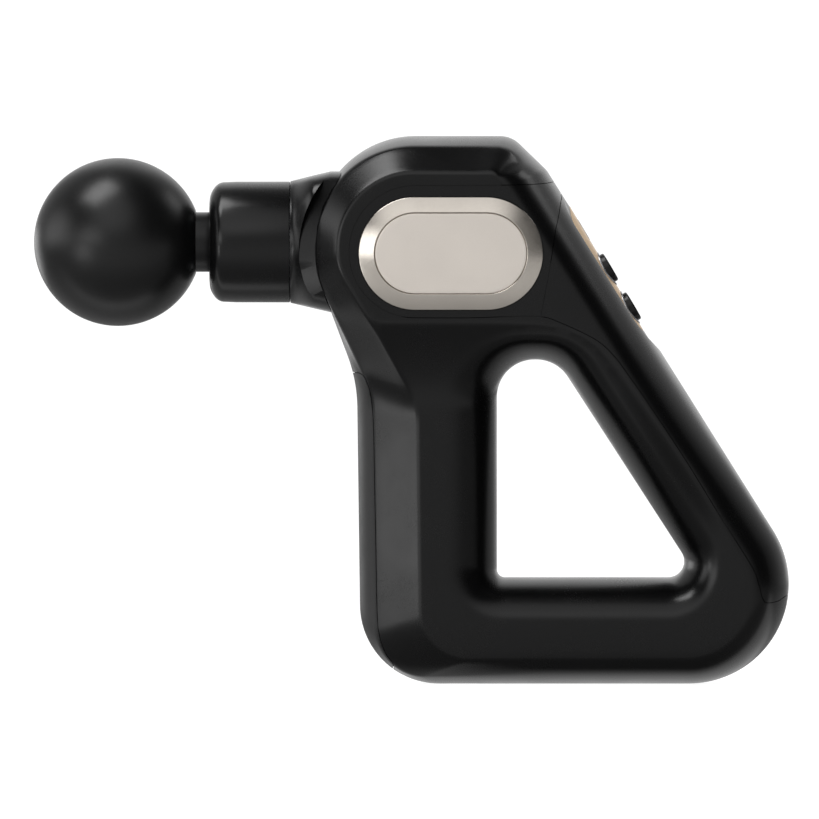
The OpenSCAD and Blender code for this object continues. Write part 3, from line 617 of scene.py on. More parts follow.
def skin_normals(o):
    """Shades the outer faces with the uncut casing's own normals, and keeps the cut walls crisp."""
    me = o.data
    co = np.zeros(len(me.vertices) * 3, np.float32)
    me.vertices.foreach_get("co", co)
    co = co.reshape(-1, 3)
    cache = {}
    nor = []
    for p in me.polygons:
        fn = p.normal
        for li in p.loop_indices:
            vi = me.loops[li].vertex_index
            if vi not in cache:
                loc, n, ti, d = _bvh.find_nearest(Vector(co[vi]))
                if d is None or d > 4e-5:
                    ps, py, ph = local(np.array(co[vi], float) - OFF)
                    cache[vi] = None
                    if -9 < ps < 57 and abs(ph - float(carve_height(ps, py))) < 0.05:
                        e = 0.05
                        gs = float(carve_height(ps + e, py) - carve_height(ps - e, py)) / (2 * e)
                        gy = float(carve_height(ps, py + e) - carve_height(ps, py - e)) / (2 * e)
                        cache[vi] = Vector(P_OUT - P_DOWN * gs - np.array([0, 1, 0]) * gy).normalized()
                else:
                    a, b, c = (Vector(_rv[k]) for k in _rt[ti])
                    v0, v1, v2 = b - a, c - a, loc - a
                    d00, d01, d11, d20, d21 = v0.dot(v0), v0.dot(v1), v1.dot(v1), v2.dot(v0), v2.dot(v1)
                    den = d00 * d11 - d01 * d01
                    if abs(den) < 1e-30:
                        cache[vi] = Vector(n)
                    else:
                        v = (d11 * d20 - d01 * d21) / den
                        w = (d00 * d21 - d01 * d20) / den
                        na, nb, nc = (Vector(_rn[k]) for k in _rt[ti])
                        cache[vi] = (na * (1 - v - w) + nb * v + nc * w).normalized()
            n = cache[vi]
            nor.append(n if n is not None and n.dot(fn) > 0.8 else fn)
    me.polygons.foreach_set("use_smooth", [True] * len(me.polygons))
    me.normals_split_custom_set([tuple(n) for n in nor])
    return o


def take(name, poly, keep_inside=True):
    o = copy(casing, name)
    if keep_inside:
        boolean(o, prism("tmp_p", offset_poly(poly, -SEAM / 2), -60, 60), "INTERSECT")
    return o


saddle = take("head_side_plates", saddle_poly)
rear = take("rear_grip_cover", rear_poly)
strip = take("front_grip_inlay", strip_poly)
rest = copy(casing, "tmp_rest")
for q in (saddle_poly, rear_poly, strip_poly):
    boolean(rest, prism("tmp_p", offset_poly(q, SEAM / 2), -60, 60))
lip_band = skin("tmp_lip", WALL - 0.06, False)
boolean(lip_band, skin("tmp_lip_in", WALL + 0.6, False))
boolean(lip_band, lathe("tmp_p", [(-60, 0), (-60, 23.15), (-25, 23.15), (-25, 0)], n=160))
for q in (saddle_poly, rear_poly, strip_poly):
    lip = copy(lip_band, "tmp_l")
    boolean(lip, prism("tmp_p", offset_poly(q, 2.0), -60, 60), "INTERSECT")
    boolean(lip, prism("tmp_p", offset_poly(q, -2.0), -60, 60))
    boolean(rest, lip, "UNION")
drop(lip_band)
tongue_band = skin("tmp_tongue", 0.6, False)
boolean(tongue_band, skin("tmp_lip_in", WALL + 0.15, False))
boolean(tongue_band, lathe("tmp_p", [(-60, 0), (-60, 23.15), (-25, 23.15), (-25, 0)], n=160))
for q in (saddle_poly, rear_poly, strip_poly):
    lip = copy(tongue_band, "tmp_l")
    boolean(lip, prism("tmp_p", offset_poly(q, SEAM / 2 + 0.25), -60, 60), "INTERSECT")
    boolean(lip, prism("tmp_p", offset_poly(q, 0.02 - SEAM / 2), -60, 60))
    boolean(rest, lip, "UNION")
drop(tongue_band)

# recess round each badge, and the groove it sits in
for s in (-1, 1):
    ys = sorted((s * 30.9, s * 40))
    boolean(saddle, prism("tmp_p", pill(18.5, *BADGE_X, BADGE_Z), *ys))

halves = []
for s, name in ((-1, "casing_left"), (1, "casing_right")):
    h = copy(rest, name)
    y0, y1 = (-60, -0.012) if s < 0 else (0.012, 60)
    box = prism("tmp_p", [(-90, -170), (150, -170), (150, 60), (-90, 60)], y0, y1)
    boolean(h, box, "INTERSECT")
    halves.append(h)
left, right = halves
drop(rest)


def ycyl(name, r, y0, y1, x, z, n=48):
    return lathe(name, [(y0, 0), (y0, r), (y1, r), (y1, 0)], axis="Y", centre=(x, 0, z), n=n)


SCREWS = [(-24.5, -34), (7, -38), (6, -130), (92, -124), (76, -80)]
for x, z in SCREWS:
    boolean(right, lathe("tmp_p", [(12, 0), (12, 2.85), (30, 2.85), (45, 3.6), (45, 0)], axis="Y", centre=(x, 0, z), n=48))
for h in (left, right):
    port = prism("tmp_p", rounded([(3.2, -150), (12.8, -150), (12.8, -139), (3.2, -139)], 0), -1.9, 1.9)
    boolean(h, port)
# running room round the motor can inside the right half
_clo, _chi = (np.array(v, float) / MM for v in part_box("rotor_can"))
_can = [(_clo[1] - 0.35, 0), (_clo[1] - 0.35, (_chi[0] - _clo[0]) / 2 + 0.35), (_chi[1] + 0.35, (_chi[0] - _clo[0]) / 2 + 0.35), (_chi[1] + 0.35, 0)]
boolean(right, lathe("tmp_p", _can, axis="Y", n=96))
drop(casing)
drop(outer)
for o in (left, right, saddle, rear, strip):
    skin_normals(o)

# ----------------------------------------------------------------------------- panel
def on_panel(s, y, h):
    return (P_ORG + P_DOWN * s + P_OUT * h + np.array([0, 1, 0]) * y) * MM


def panel_solid(name, grow, h_top, h_bot, fillet=0.35, crown=True, length=P_LEN, half=P_HALF):
    """Crowned pill-shaped plate on the rear slope, between two heights, with a rounded top edge."""
    n = 40
    outline = []
    for k in range(n + 1):
        a = -math.pi / 2 + math.pi * k / n
        outline.append((length - half + (half + grow) * math.cos(a), (half + grow) * math.sin(a)))
    for k in range(n + 1):
        a = math.pi / 2 + math.pi * k / n
        outline.append((half + (half + grow) * math.cos(a), (half + grow) * math.sin(a)))
    out = np.array(outline)
    c = out.mean(0)
    verts, faces, rows = [], [], []

    def drop_h(y):
        return P_CROWN - np.sqrt(P_CROWN ** 2 - np.clip(y, -P_CROWN * 0.98, P_CROWN * 0.98) ** 2) if crown else 0 * y

    levels = [(h_bot, 0.0), (h_top - fillet, 0.0)] + [(h_top - fillet + fillet * math.sin(t), fillet * (1 - math.cos(t))) for t in np.linspace(0, math.pi / 2, 6)[1:]]
    for h, ins in levels:
        p = offset_poly(out, -ins)
        rows.append(list(range(len(verts), len(verts) + len(p))))
        verts += [on_panel(a, b, h - float(drop_h(np.array(b)))) for a, b in p]
    for a, b in zip(rows[:-1], rows[1:]):
        m = len(a)
        faces += [[a[i], a[(i + 1) % m], b[(i + 1) % m], b[i]] for i in range(m)]
    # caps as strips across the width so that the crown is followed
    m = len(rows[0])
    half_m = m // 2
    for r, flip in ((rows[0], True), (rows[-1], False)):
        P = [np.array(verts[i]) for i in r]
        nx = 14
        grid = []
        for i in range(half_m):
            a, b = r[i], r[m - 1 - i]
            pa, pb = P[i], P[m - 1 - i]
            la, lb = local(pa), local(pb)
            h = h_bot if flip else h_top
            row = [a]
            for k in range(1, nx):
                t = k / nx
                sx = la[0] + (lb[0] - la[0]) * t
                yy = la[1] + (lb[1] - la[1]) * t
                row.append(len(verts))
                verts.append(on_panel(sx, yy, h - float(drop_h(np.array(yy)))))
            row.append(b)
            grid.append(row)
        for g0, g1 in zip(grid[:-1], grid[1:]):
            for k in range(nx):
                f = [g0[k], g0[k + 1], g1[k + 1], g1[k]]
                faces.append(f)
        faces.append(grid[0])
        faces.append(grid[-1])
    return fix_normals(mesh_object(name, verts, faces))


def panel_lathe(name, prof, s, n=64, drape=0.0):
    """Turned piece whose axis is the panel's outward direction; profile of (height, radius)."""
    verts, rows = [], []
    for h, r in prof:
        if r < 1e-6:
            rows.append([len(verts)] * n)
            verts.append(on_panel(s, 0, h))
        else:
            rows.append(list(range(len(verts), len(verts) + n)))
            for k in range(n):
                y = r * math.sin(2 * math.pi * k / n)
                fall = P_CROWN - math.sqrt(P_CROWN ** 2 - y * y)
                verts.append(on_panel(s + r * math.cos(2 * math.pi * k / n), y, h - drape * fall))
    faces = []
    for i in range(len(rows)):
        p, q = rows[i], rows[(i + 1) % len(rows)]
        for k in range(n):
            f = [p[k], p[(k + 1) % n], q[(k + 1) % n], q[k]]
            f = [v for j, v in enumerate(f) if v != f[j - 1]]
            if len(set(f)) >= 3:
                faces.append(f)
    return fix_normals(mesh_object(name, verts, faces))


def carve_solid(name, s0, s1, half, lift, top, ns=110, ny=75):
    """Block between the ledge surface moved by lift and a height (or a second moved surface)."""
    ss, yy = np.linspace(s0, s1, ns), np.linspace(-half, half, ny)
    verts = [on_panel(a, b, float(carve_height(a, b)) + lift) for a in ss for b in yy]
    verts += [on_panel(a, b, float(carve_height(a, b)) + top if top < 0 else top) for a in ss for b in yy]
    n, m = len(yy), len(ss) * len(yy)
    faces = []
    for i in range(len(ss) - 1):
        for j in range(n - 1):
            q = [i * n + j, i * n + j + 1, (i + 1) * n + j + 1, (i + 1) * n + j]
            faces += [q, [v + m for v in reversed(q)]]
    rim = [i * n for i in range(len(ss))] + [(len(ss) - 1) * n + j for j in range(1, n)]
    rim += [i * n + n - 1 for i in range(len(ss) - 2, -1, -1)] + [j for j in range(n - 2, 0, -1)]
    faces += [[rim[i], rim[(i + 1) % len(rim)], rim[(i + 1) % len(rim)] + m, rim[i] + m] for i in range(len(rim))]
    return fix_normals(mesh_object(name, verts, faces))


boolean(rear, carve_solid("tmp_c", -9.5, 57, 19.5, 0.0, 40.0))
boolean(rear, carve_solid("tmp_c", 0.6, 46.8, 13.8, -2.2, -0.8, 40, 24), "UNION")
boolean(rear, panel_solid("tmp_seat", 0.9, -1.3, -3.5, fillet=0.01), "UNION")
boolean(rear, panel_solid("tmp_p", 0.22, 6.0, -1.6, fillet=0.01))
for k in KEYS:
    boolean(rear, panel_lathe("tmp_p", [(-14, 0), (-14, 6.5), (-3.6, 6.5), (-3.6, 5.2), (2, 5.2), (2, 0)], k, 48))
skin_normals(rear)

panel = panel_solid("control_panel_plate", 0.0, 0.0, -1.45)
for k in KEYS:
    boolean(panel, panel_lathe("tmp_p", [(-14, 0), (-14, 6.2), (4, 6.2), (4, 0)], k, 96))
lens_cut = None
sharpen(panel, 30)


def lens_piece(name, grow, h0, h1):
    pts = []
    for k in range(25):
        a = -math.pi / 2 + math.pi * k / 24
        pts.append((9 + 2.6 + (1.45 + grow) * math.cos(a), (1.45 + grow) * math.sin(a)))
    for k in range(25):
        a = math.pi / 2 + math.pi * k / 24
        pts.append((9 - 2.6 + (1.45 + grow) * math.cos(a), (1.45 + grow) * math.sin(a)))
    verts, faces, rows = [], [], []
    for h, g in ((h0, 0), (h1 - 0.2, 0), (h1 - 0.06, -0.06), (h1, -0.2)):
        p = offset_poly(pts, g)
        rows.append(list(range(len(verts), len(verts) + len(p))))
        verts += [on_panel(a, b, h) for a, b in p]
    for a, b in zip(rows[:-1], rows[1:]):
        m = len(a)
        faces += [[a[i], a[(i + 1) % m], b[(i + 1) % m], b[i]] for i in range(m)]
    faces += [rows[0], rows[-1]]
    return fix_normals(mesh_object(name, verts, faces))


boolean(panel, lens_piece("tmp_p", 0.05, -6, 4))
boolean(rear, lens_piece("tmp_p", 0.15, -12, 4))
skin_normals(rear)
sharpen(panel, 30)
lens = sharpen(lens_piece("indicator_window", 0.0, -4.4, 0.08), 40)

# button rings
rings = []
for j, k in enumerate(KEYS):
    prof = rounded([(-1.35, 5.2), (0.3, 5.2), (0.34, 6.15), (-1.35, 6.15)], [0.1, 0.16, 0.28, 0.1], 5)
    r = panel_lathe("button_ring_%d" % (j + 1), prof, k, 96, 1.0)
    sharpen(r, 40)
    rings.append(r)


def button(name, s):
    prof = [(-5.1, 0), (-5.1, 2.0), (-4.4, 2.0), (-4.4, 6.2), (-3.7, 6.2), (-3.7, 5.0), (0.95, 5.0)]
    prof += [(0.95 + 0.55 * math.sin(t), 4.45 + 0.55 * math.cos(t)) for t in np.linspace(0.2, math.pi / 2, 7)]
    prof += [(1.5 - 0.42 * (1 - (r / 4.2) ** 2), r) for r in (4.2, 3.7, 3.0, 2.2, 1.3, 0.5)]
    prof += [(1.08, 0)]
    return sharpen(panel_lathe(name, prof, s, 96), 40)


power = button("power_push_button", KEYS[0])
speed = button("speed_push_button", KEYS[1])

# ----------------------------------------------------------------------------- badges

def pill_loft(name, levels, s, n=72):
    """levels: (y, radius) from inside out; the last level joins back to the first, closing the ring."""
    verts, rows, faces = [], [], []
    for y, r in levels:
        p = pill(r, *BADGE_X, BADGE_Z, n)
        rows.append(list(range(len(verts), len(verts) + len(p))))
        verts += [(x * MM, s * y * MM, z * MM) for x, z in p]
    for i in range(len(rows)):
        a, b = rows[i], rows[(i + 1) % len(rows)]
        m = len(a)
        faces += [[a[k], a[(k + 1) % m], b[(k + 1) % m], b[k]] for k in range(m)]
    return fix_normals(mesh_object(name, verts, faces))


def badge(s, tag):
    prof = rounded([(31.1, 12.2), (33.35, 12.2), (33.35, 12.98), (34.0, 13.15), (32.2, 18.2), (31.1, 18.2)],
                   [0.1, 0.1, 0.12, 0.35, 0.35, 0.1], 6)
    # closed profile ring: outer bevel and the seat for the plate
    rg = sharpen(pill_loft("badge_bevel_%s" % tag, prof, s), 30)
    pl_levels = [(33.37, 12.86), (33.72, 12.86), (33.82, 12.81), (33.86, 12.66), (33.87, 12.1)]
    verts, rows, faces = [], [], []
    for y, r in pl_levels:
        p = pill(r, *BADGE_X, BADGE_Z, 72)
        rows.append(list(range(len(verts), len(verts) + len(p))))
        verts += [(x * MM, s * y * MM, z * MM) for x, z in p]
    for a, b in zip(rows[:-1], rows[1:]):
        m = len(a)
        faces += [[a[k], a[(k + 1) % m], b[(k + 1) % m], b[k]] for k in range(m)]
    faces += [rows[0], rows[-1]]
    pl = sharpen(fix_normals(mesh_object("badge_face_%s" % tag, verts, faces)), 30)
    return rg, pl


badges = {s: badge(s, t) for s, t in ((-1, "left"), (1, "right"))}

# ----------------------------------------------------------------------------- nose
cone_prof = [(-30, 17.3), (-30, 22.85), (-35.2, 22.85)]
cone_prof += [(-35.2 - 13.1 * t, 22.9 - 3.05 * t) for t in np.linspace(0.03, 1, 34)]
cone_prof += [(-48.55, 19.75), (-48.62, 19.5), (-48.62, 17.3)]
cone = lathe("neck_cone_shell", cone_prof, n=192)
# towards the head the neck widens and squares up, and is cut by a flat ring concentric with the head
_co = [v.co - Vector(OFF) for v in cone.data.vertices]
for v, c in zip(cone.data.vertices, _co):
    x, y, z = (q / MM for q in c)
    r = math.hypot(y, z)
    if r > 19.45 and x > -48.6:
        t = float(smooth01((x + 48.3) / 7.6))
        ex = 2 / (2 + 2.2 * t)
        cy, cz = y / r, z / r
        v.co = Vector((x, math.copysign((r + 3.7 * t) * abs(cy) ** ex, y), math.copysign(r * abs(cz) ** ex, z))) * MM + Vector(OFF)
fix_normals(cone)
trim_prof = [(-24.2, 0), (-24.2, 32.4), (-21.15, 37.6), (-60, 37.75), (-60, 80), (60, 80), (60, 37.75), (21.15, 37.6), (24.2, 32.4), (24.2, 0)]
trim = lathe("tmp_trim", trim_prof, axis="Y", centre=(-8.1, 0, -3.6), n=192)
boolean(cone, trim, "INTERSECT")
boolean(cone, lathe("tmp_p", [(-39.3, 0), (-39.3, 20.7), (-20, 20.7), (-20, 0)], n=128))
clear = skin("tmp_clear", -0.3, False)
boolean(clear, lathe("tmp_p", [(-70, 0), (-70, 22.88), (-10, 22.88), (-10, 0)], n=192))
boolean(cone, clear)
sharpen(cone, 24)

dome = [tuple(v) for v in spline([(-70.4, 19.45), (-71.4, 19.2), (-72.4, 18.6), (-73.35, 17.6), (-74.2, 16.2), (-74.7, 14.7), (-74.88, 13.2)], 0.22)]
collar_prof = [(-48.75, 17.15), (-48.75, 19.4), (-48.85, 19.58), (-49.1, 19.65), (-66.0, 19.62)] + dome
collar_prof += rounded([(-74.9, 12.8), (-73.95, 12.8), (-73.95, 14.5), (-72.05, 14.5), (-72.05, 12.8), (-71.2, 12.8), (-71.2, 17.15)], 0.1, 4)
collar = sharpen(lathe("nose_collar_sleeve", collar_prof, n=192), 30)
seal_prof = rounded([(-73.88, 14.42), (-73.88, 13.3), (-73.5, 12.16), (-73.1, 12.16), (-72.7, 12.8), (-72.12, 13.0), (-72.12, 14.42)], 0.14, 4)
seal = sharpen(lathe("wiper_seal", seal_prof, n=128), 40)

# massage ball: moulded skin with a shallow parting groove round the neck opening
R, CX = 27.3, -104.65
a0 = math.asin(9.95 / R)
ball_prof = []
for t in np.linspace(math.pi, a0 + 0.02, 120):
    ball_prof.append((CX + R * math.cos(t), max(0.0, R * math.sin(t))))
ball_prof[0] = (CX - R, 0.0)
xe = CX + R * math.cos(a0)
ball_prof += [(xe - 0.05, 9.83), (xe - 0.3, 9.74), (-84.02, 9.73), (-84.02, 7.03), (-96.98, 7.03), (-96.98, 9.03), (-101.02, 9.03), (-101.02, 7.03), (-107.02, 7.03), (-107.02, 0)]
ball = sharpen(lathe("massage_ball", ball_prof, n=192), 40)
stem_prof = [(-107.0, 0), (-107.0, 7.0), (-101.0, 7.0), (-101.0, 9.0), (-97.0, 9.0), (-97.0, 7.0), (-84.0, 7.0), (-84.0, 9.7), (-72.9, 9.7), (-72.62, 9.6), (-72.55, 9.35),
             (-72.55, 8.0), (-67.5, 8.0), (-67.5, 6.6), (-65.3, 6.6), (-65.3, 8.0), (-60.0, 8.0), (-60.0, 6.6), (-57.8, 6.6), (-57.8, 8.0), (-54.4, 8.0), (-54.0, 7.6), (-54.0, 3.5), (-66.0, 3.5), (-66.0, 0)]
stem = sharpen(lathe("head_shank", stem_prof, n=128), 30)

# ----------------------------------------------------------------------------- materials

def new_mat(name):
    m = bpy.data.materials.new(name)
    m.use_nodes = True
    nt = m.node_tree
    return m, nt, nt.nodes["Principled BSDF"]


def tex_noise(nt, scale, detail=4.0, rough=0.55):
    tc = nt.nodes.get("tc") or nt.nodes.new("ShaderNodeTexCoord")
    tc.name = "tc"
    n = nt.nodes.new("ShaderNodeTexNoise")
    n.inputs["Scale"].default_value = scale
    n.inputs["Detail"].default_value = detail
    n.inputs["Roughness"].default_value = rough
    nt.links.new(tc.outputs["Object"], n.inputs["Vector"])
    return n


def ramp(nt, src, lo, hi, a=0.3, b=0.7):
    r = nt.nodes.new("ShaderNodeMapRange")
    r.inputs["From Min"].default_value, r.inputs["From Max"].default_value = a, b
    r.inputs["To Min"].default_value, r.inputs["To Max"].default_value = lo, hi
    nt.links.new(src, r.inputs["Value"])
    return r.outputs["Result"]


def mix_col(nt, fac, c0, c1):
    m = nt.nodes.new("ShaderNodeMix")
    m.data_type = "RGBA"
    m.inputs[6].default_value = (*c0, 1)
    m.inputs[7].default_value = (*c1, 1)
    nt.links.new(fac, m.inputs[0])
    return m.outputs[2]


def plastic(name, col, rough=0.4, var=0.05, grain=2600, bump=0.06, spec=0.5, coat=0.0, dist=0.00004, sheen=0.0):
    """Moulded plastic or rubber: fine spark-eroded grain, faint handling marks in the gloss, slight colour drift."""
    m, nt, b = new_mat(name)
    big = tex_noise(nt, 22, 3)
    nt.links.new(mix_col(nt, ramp(nt, big.outputs["Fac"], 0, 1), tuple(c * 0.88 for c in col), tuple(min(1, c * 1.12) for c in col)), b.inputs["Base Color"])
    marks = tex_noise(nt, 65, 6, 0.6)
    fine = tex_noise(nt, grain, 2, 0.5)
    add = nt.nodes.new("ShaderNodeMath")
    add.operation = "ADD"
    nt.links.new(ramp(nt, marks.outputs["Fac"], rough - var, rough + var), add.inputs[0])
    nt.links.new(ramp(nt, fine.outputs["Fac"], -0.02, 0.02), add.inputs[1])
    nt.links.new(add.outputs[0], b.inputs["Roughness"])
    b.inputs["Specular IOR Level"].default_value = spec
    b.inputs["Coat Weight"].default_value = coat
    b.inputs["Sheen Weight"].default_value = sheen
    bp = nt.nodes.new("ShaderNodeBump")
    bp.inputs["Strength"].default_value = bump
    bp.inputs["Distance"].default_value = dist
    nt.links.new(fine.outputs["Fac"], bp.inputs["Height"])
    nt.links.new(bp.outputs["Normal"], b.inputs["Normal"])
    return m


def metal(name, col, rough=0.25, var=0.06, scale=(300, 300, 300), bump=0.05, metallic=1.0, dark=0.85):
    """Metal with directional or blasted micro texture, uneven gloss and a little dulling."""
    m, nt, b = new_mat(name)
    tc = nt.nodes.new("ShaderNodeTexCoord")
    mp = nt.nodes.new("ShaderNodeMapping")
    mp.inputs["Scale"].default_value = scale
    nt.links.new(tc.outputs["Object"], mp.inputs["Vector"])
    n = nt.nodes.new("ShaderNodeTexNoise")
    n.inputs["Scale"].default_value = 1.0
    n.inputs["Detail"].default_value = 5
    nt.links.new(mp.outputs["Vector"], n.inputs["Vector"])
    big = tex_noise(nt, 40, 3)
    nt.links.new(mix_col(nt, ramp(nt, big.outputs["Fac"], 0, 1), tuple(c * dark for c in col), col), b.inputs["Base Color"])
    nt.links.new(ramp(nt, n.outputs["Fac"], rough - var, rough + var), b.inputs["Roughness"])
    b.inputs["Metallic"].default_value = metallic
    bp = nt.nodes.new("ShaderNodeBump")
    bp.inputs["Strength"].default_value = bump
    bp.inputs["Distance"].default_value = 0.00003
    nt.links.new(n.outputs["Fac"], bp.inputs["Height"])
    nt.links.new(bp.outputs["Normal"], b.inputs["Normal"])
    return m


MAT = {
    "casing_black": plastic("casing_black", (0.0030, 0.0030, 0.0032), 0.25, 0.03, spec=0.36),
    "casing_satin": plastic("casing_satin", (0.0032, 0.0032, 0.0034), 0.25, 0.03, spec=0.36),
    "grip_rubber": plastic("grip_rubber", (0.006, 0.006, 0.0063), 0.42, 0.04, grain=1800, bump=0.12, spec=0.4),
    "seal_rubber": plastic("seal_rubber", (0.003, 0.003, 0.003), 0.6, spec=0.3),
    "ball_foam": plastic("ball_foam", (0.0030, 0.0030, 0.0032), 0.34, 0.04, grain=1500, bump=0.1, spec=0.4),
    "stem_plastic": plastic("stem_plastic", (0.0045, 0.0045, 0.005), 0.34, spec=0.4),
    "button_black": plastic("button_black", (0.003, 0.003, 0.0033), 0.3, spec=0.36),
    "board_green": plastic("board_green", (0.01, 0.09, 0.035), 0.3, grain=700),
    "cell_sleeve": plastic("cell_sleeve", (0.03, 0.1, 0.22), 0.28, grain=500),
    "wire_red": plastic("wire_red", (0.28, 0.012, 0.01), 0.45),
    "lens_white": plastic("lens_white", (0.8, 0.8, 0.66), 0.5),
    "lens_clear": plastic("lens_clear", (0.42, 0.44, 0.46), 0.22),
    "champagne_metal": metal("champagne_metal", (0.66, 0.61, 0.55), 0.2, 0.04, (900, 900, 900), 0.02),
    "champagne_plate": metal("champagne_plate", (0.9, 0.835, 0.765), 0.55, 0.05, (1800, 1800, 1800), 0.2, metallic=0.8, dark=0.95),
    "panel_gold": metal("panel_gold", (1.0, 0.75, 0.5), 0.38, 0.05, (1500, 1500, 1500), 0.12, metallic=0.6, dark=0.95),
    "button_chrome": metal("button_chrome", (0.5, 0.5, 0.51), 0.24, 0.04),
    "cast_aluminium": metal("cast_aluminium", (0.5, 0.51, 0.52), 0.45, 0.08, (700, 700, 700), 0.3),
    "turned_aluminium": metal("turned_aluminium", (0.6, 0.61, 0.63), 0.24, 0.06, (2500, 60, 60), 0.12),
    "screw_steel": metal("screw_steel", (0.35, 0.35, 0.36), 0.35),
    "bearing_steel": metal("bearing_steel", (0.7, 0.71, 0.73), 0.12, 0.03),
    "machined_steel": metal("machined_steel", (0.5, 0.51, 0.53), 0.3, 0.06, (60, 2500, 60), 0.1),
    "lamination_steel": metal("lamination_steel", (0.2, 0.21, 0.23), 0.42, 0.05, (60, 4000, 60), 0.3),
    "rotor_paint": plastic("rotor_paint", (0.012, 0.012, 0.013), 0.3),
    "magnet_nickel": metal("magnet_nickel", (0.55, 0.55, 0.56), 0.25),
    "copper_wire": metal("copper_wire", (0.72, 0.29, 0.12), 0.3, 0.05, (60, 5000, 60), 0.4),
    "bush_bronze": metal("bush_bronze", (0.5, 0.3, 0.13), 0.42, 0.08, (1200, 1200, 1200), 0.25),
    "tab_nickel": metal("tab_nickel", (0.62, 0.62, 0.62), 0.3),
}


def dress(o, slot_name):
    o.data.materials.clear()
    o.data.materials.append(MAT[slot_name])
    return o


def place(o, body, slot_name, *replaced):
    dress(o, slot_name)
    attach(o, body)
    if replaced:
        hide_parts(*replaced)


place(left, "housing", "casing_black", "shell_left")
place(right, "housing", "casing_black", "shell_right")
place(saddle, "housing", "casing_satin", "head_saddle")
place(rear, "housing", "casing_satin", "rear_cover")
place(strip, "housing", "grip_rubber", "grip_strip")
place(badges[-1][0], "housing", "champagne_metal", "badge_ring_left")
place(badges[1][0], "housing", "champagne_metal", "badge_ring_right")
place(badges[-1][1], "housing", "champagne_plate", "badge_plate_left")
place(badges[1][1], "housing", "champagne_plate", "badge_plate_right")
place(cone, "housing", "casing_satin", "neck_cone")
place(collar, "housing", "casing_satin", "nose_collar")
place(seal, "housing", "seal_rubber", "front_seal")
place(panel, "housing", "panel_gold", "control_panel")
place(rings[0], "housing", "button_chrome", "button_rings")
place(rings[1], "housing", "button_chrome")
place(lens, "housing", "lens_clear", "indicator_lens")
place(power, "power_key", "button_black", "power_button")
place(speed, "speed_key", "button_black", "speed_button")
place(ball, "massage_head", "ball_foam", "ball_cover")
place(stem, "massage_head", "stem_plastic", "head_stem")

slots = {s["node"]: s["material_slot"] for s in frame["record"]["subparts"]}
for n, o in NODES.items():
    if o.hide_render:
        continue
    for i in range(max(1, len(o.material_slots))):
        if not o.material_slots:
            o.data.materials.append(MAT[slots[n]])
        else:
            o.material_slots[i].material = MAT[slots[n]]
    m = o.modifiers.new("edges", "EDGE_SPLIT")
    m.split_angle = math.radians(30)

# ----------------------------------------------------------------------------- stage, light, camera

PAPER_SIDE, PAPER_BACK, PAPER_FRONT = 0.14, 0.78, 0.35


def build_stage():
    z0 = -0.14352
    verts = [(x, y, z0) for y in (-6, -2, 0, 2, 6) for x in (-6, -2, 0, 2, 6)]
    faces = [[5 * j + i, 5 * j + i + 1, 5 * j + i + 6, 5 * j + i + 5] for j in range(4) for i in range(4)]
    o = mesh_object("studio_floor", verts, faces)
    m, nt, b = new_mat("studio_paper")
    b.inputs["Base Color"].default_value = (0.35, 0.35, 0.35, 1)
    b.inputs["Roughness"].default_value = 0.9
    b.inputs["Specular IOR Level"].default_value = 0.1
    n = tex_noise(nt, 6, 3)
    nt.links.new(ramp(nt, n.outputs["Fac"], 0.85, 0.95), b.inputs["Roughness"])
    b.inputs["Emission Color"].default_value = (1, 1, 1, 1)
    geo = nt.nodes.new("ShaderNodeNewGeometry")
    sx = nt.nodes.new("ShaderNodeSeparateXYZ")
    nt.links.new(geo.outputs["Position"], sx.inputs[0])

    def mth(op, a, b=None, c=None):
        q = nt.nodes.new("ShaderNodeMath")
        q.operation = op
        for i, v in enumerate((a, b, c)):
            if v is None:
                continue
            if isinstance(v, (int, float)):
                q.inputs[i].default_value = v
            else:
                nt.links.new(v, q.inputs[i])
        return q.outputs[0]

    def soft(src, a, b, lo, hi):
        r = nt.nodes.new("ShaderNodeMapRange")
        r.interpolation_type = "SMOOTHSTEP"
        for k, v in (("From Min", a), ("From Max", b), ("To Min", lo), ("To Max", hi)):
            r.inputs[k].default_value = v
        nt.links.new(src, r.inputs["Value"])
        return r.outputs["Result"]
    # how bright the paper looks to the object: bright behind it, darker to the sides, dim close in front
    side = soft(mth("ABSOLUTE", mth("SUBTRACT", sx.outputs["X"], 0.08)), 0.25, 0.62, 1.0, PAPER_SIDE)
    back = soft(sx.outputs["Y"], -0.019, -0.011, 0.0, PAPER_BACK)
    back = mth("MULTIPLY", back, mth("ADD", soft(sx.outputs["Y"], 0.012, 0.035, 1.0, 0.15), soft(sx.outputs["Y"], 0.45, 0.8, 0.0, 0.85)))
    front = soft(mth("MULTIPLY", sx.outputs["Y"], -1.0), 0.06, 0.3, 0.0, PAPER_FRONT)
    glow = mth("MULTIPLY_ADD", side, back, front)
    lp = nt.nodes.new("ShaderNodeLightPath")
    cam_ray = lp.outputs["Is Camera Ray"]
    glow = mth("MULTIPLY", glow, mth("SUBTRACT", 1.0, cam_ray))
    nt.links.new(mth("MULTIPLY_ADD", cam_ray, 0.95, glow), b.inputs["Emission Strength"])
    o.data.materials.append(m)
    return o


build_stage()

world = bpy.data.worlds.new("studio")
bpy.context.scene.world = world
world.use_nodes = True
wn = world.node_tree
bg = wn.nodes["Background"]
tc = wn.nodes.new("ShaderNodeTexCoord")


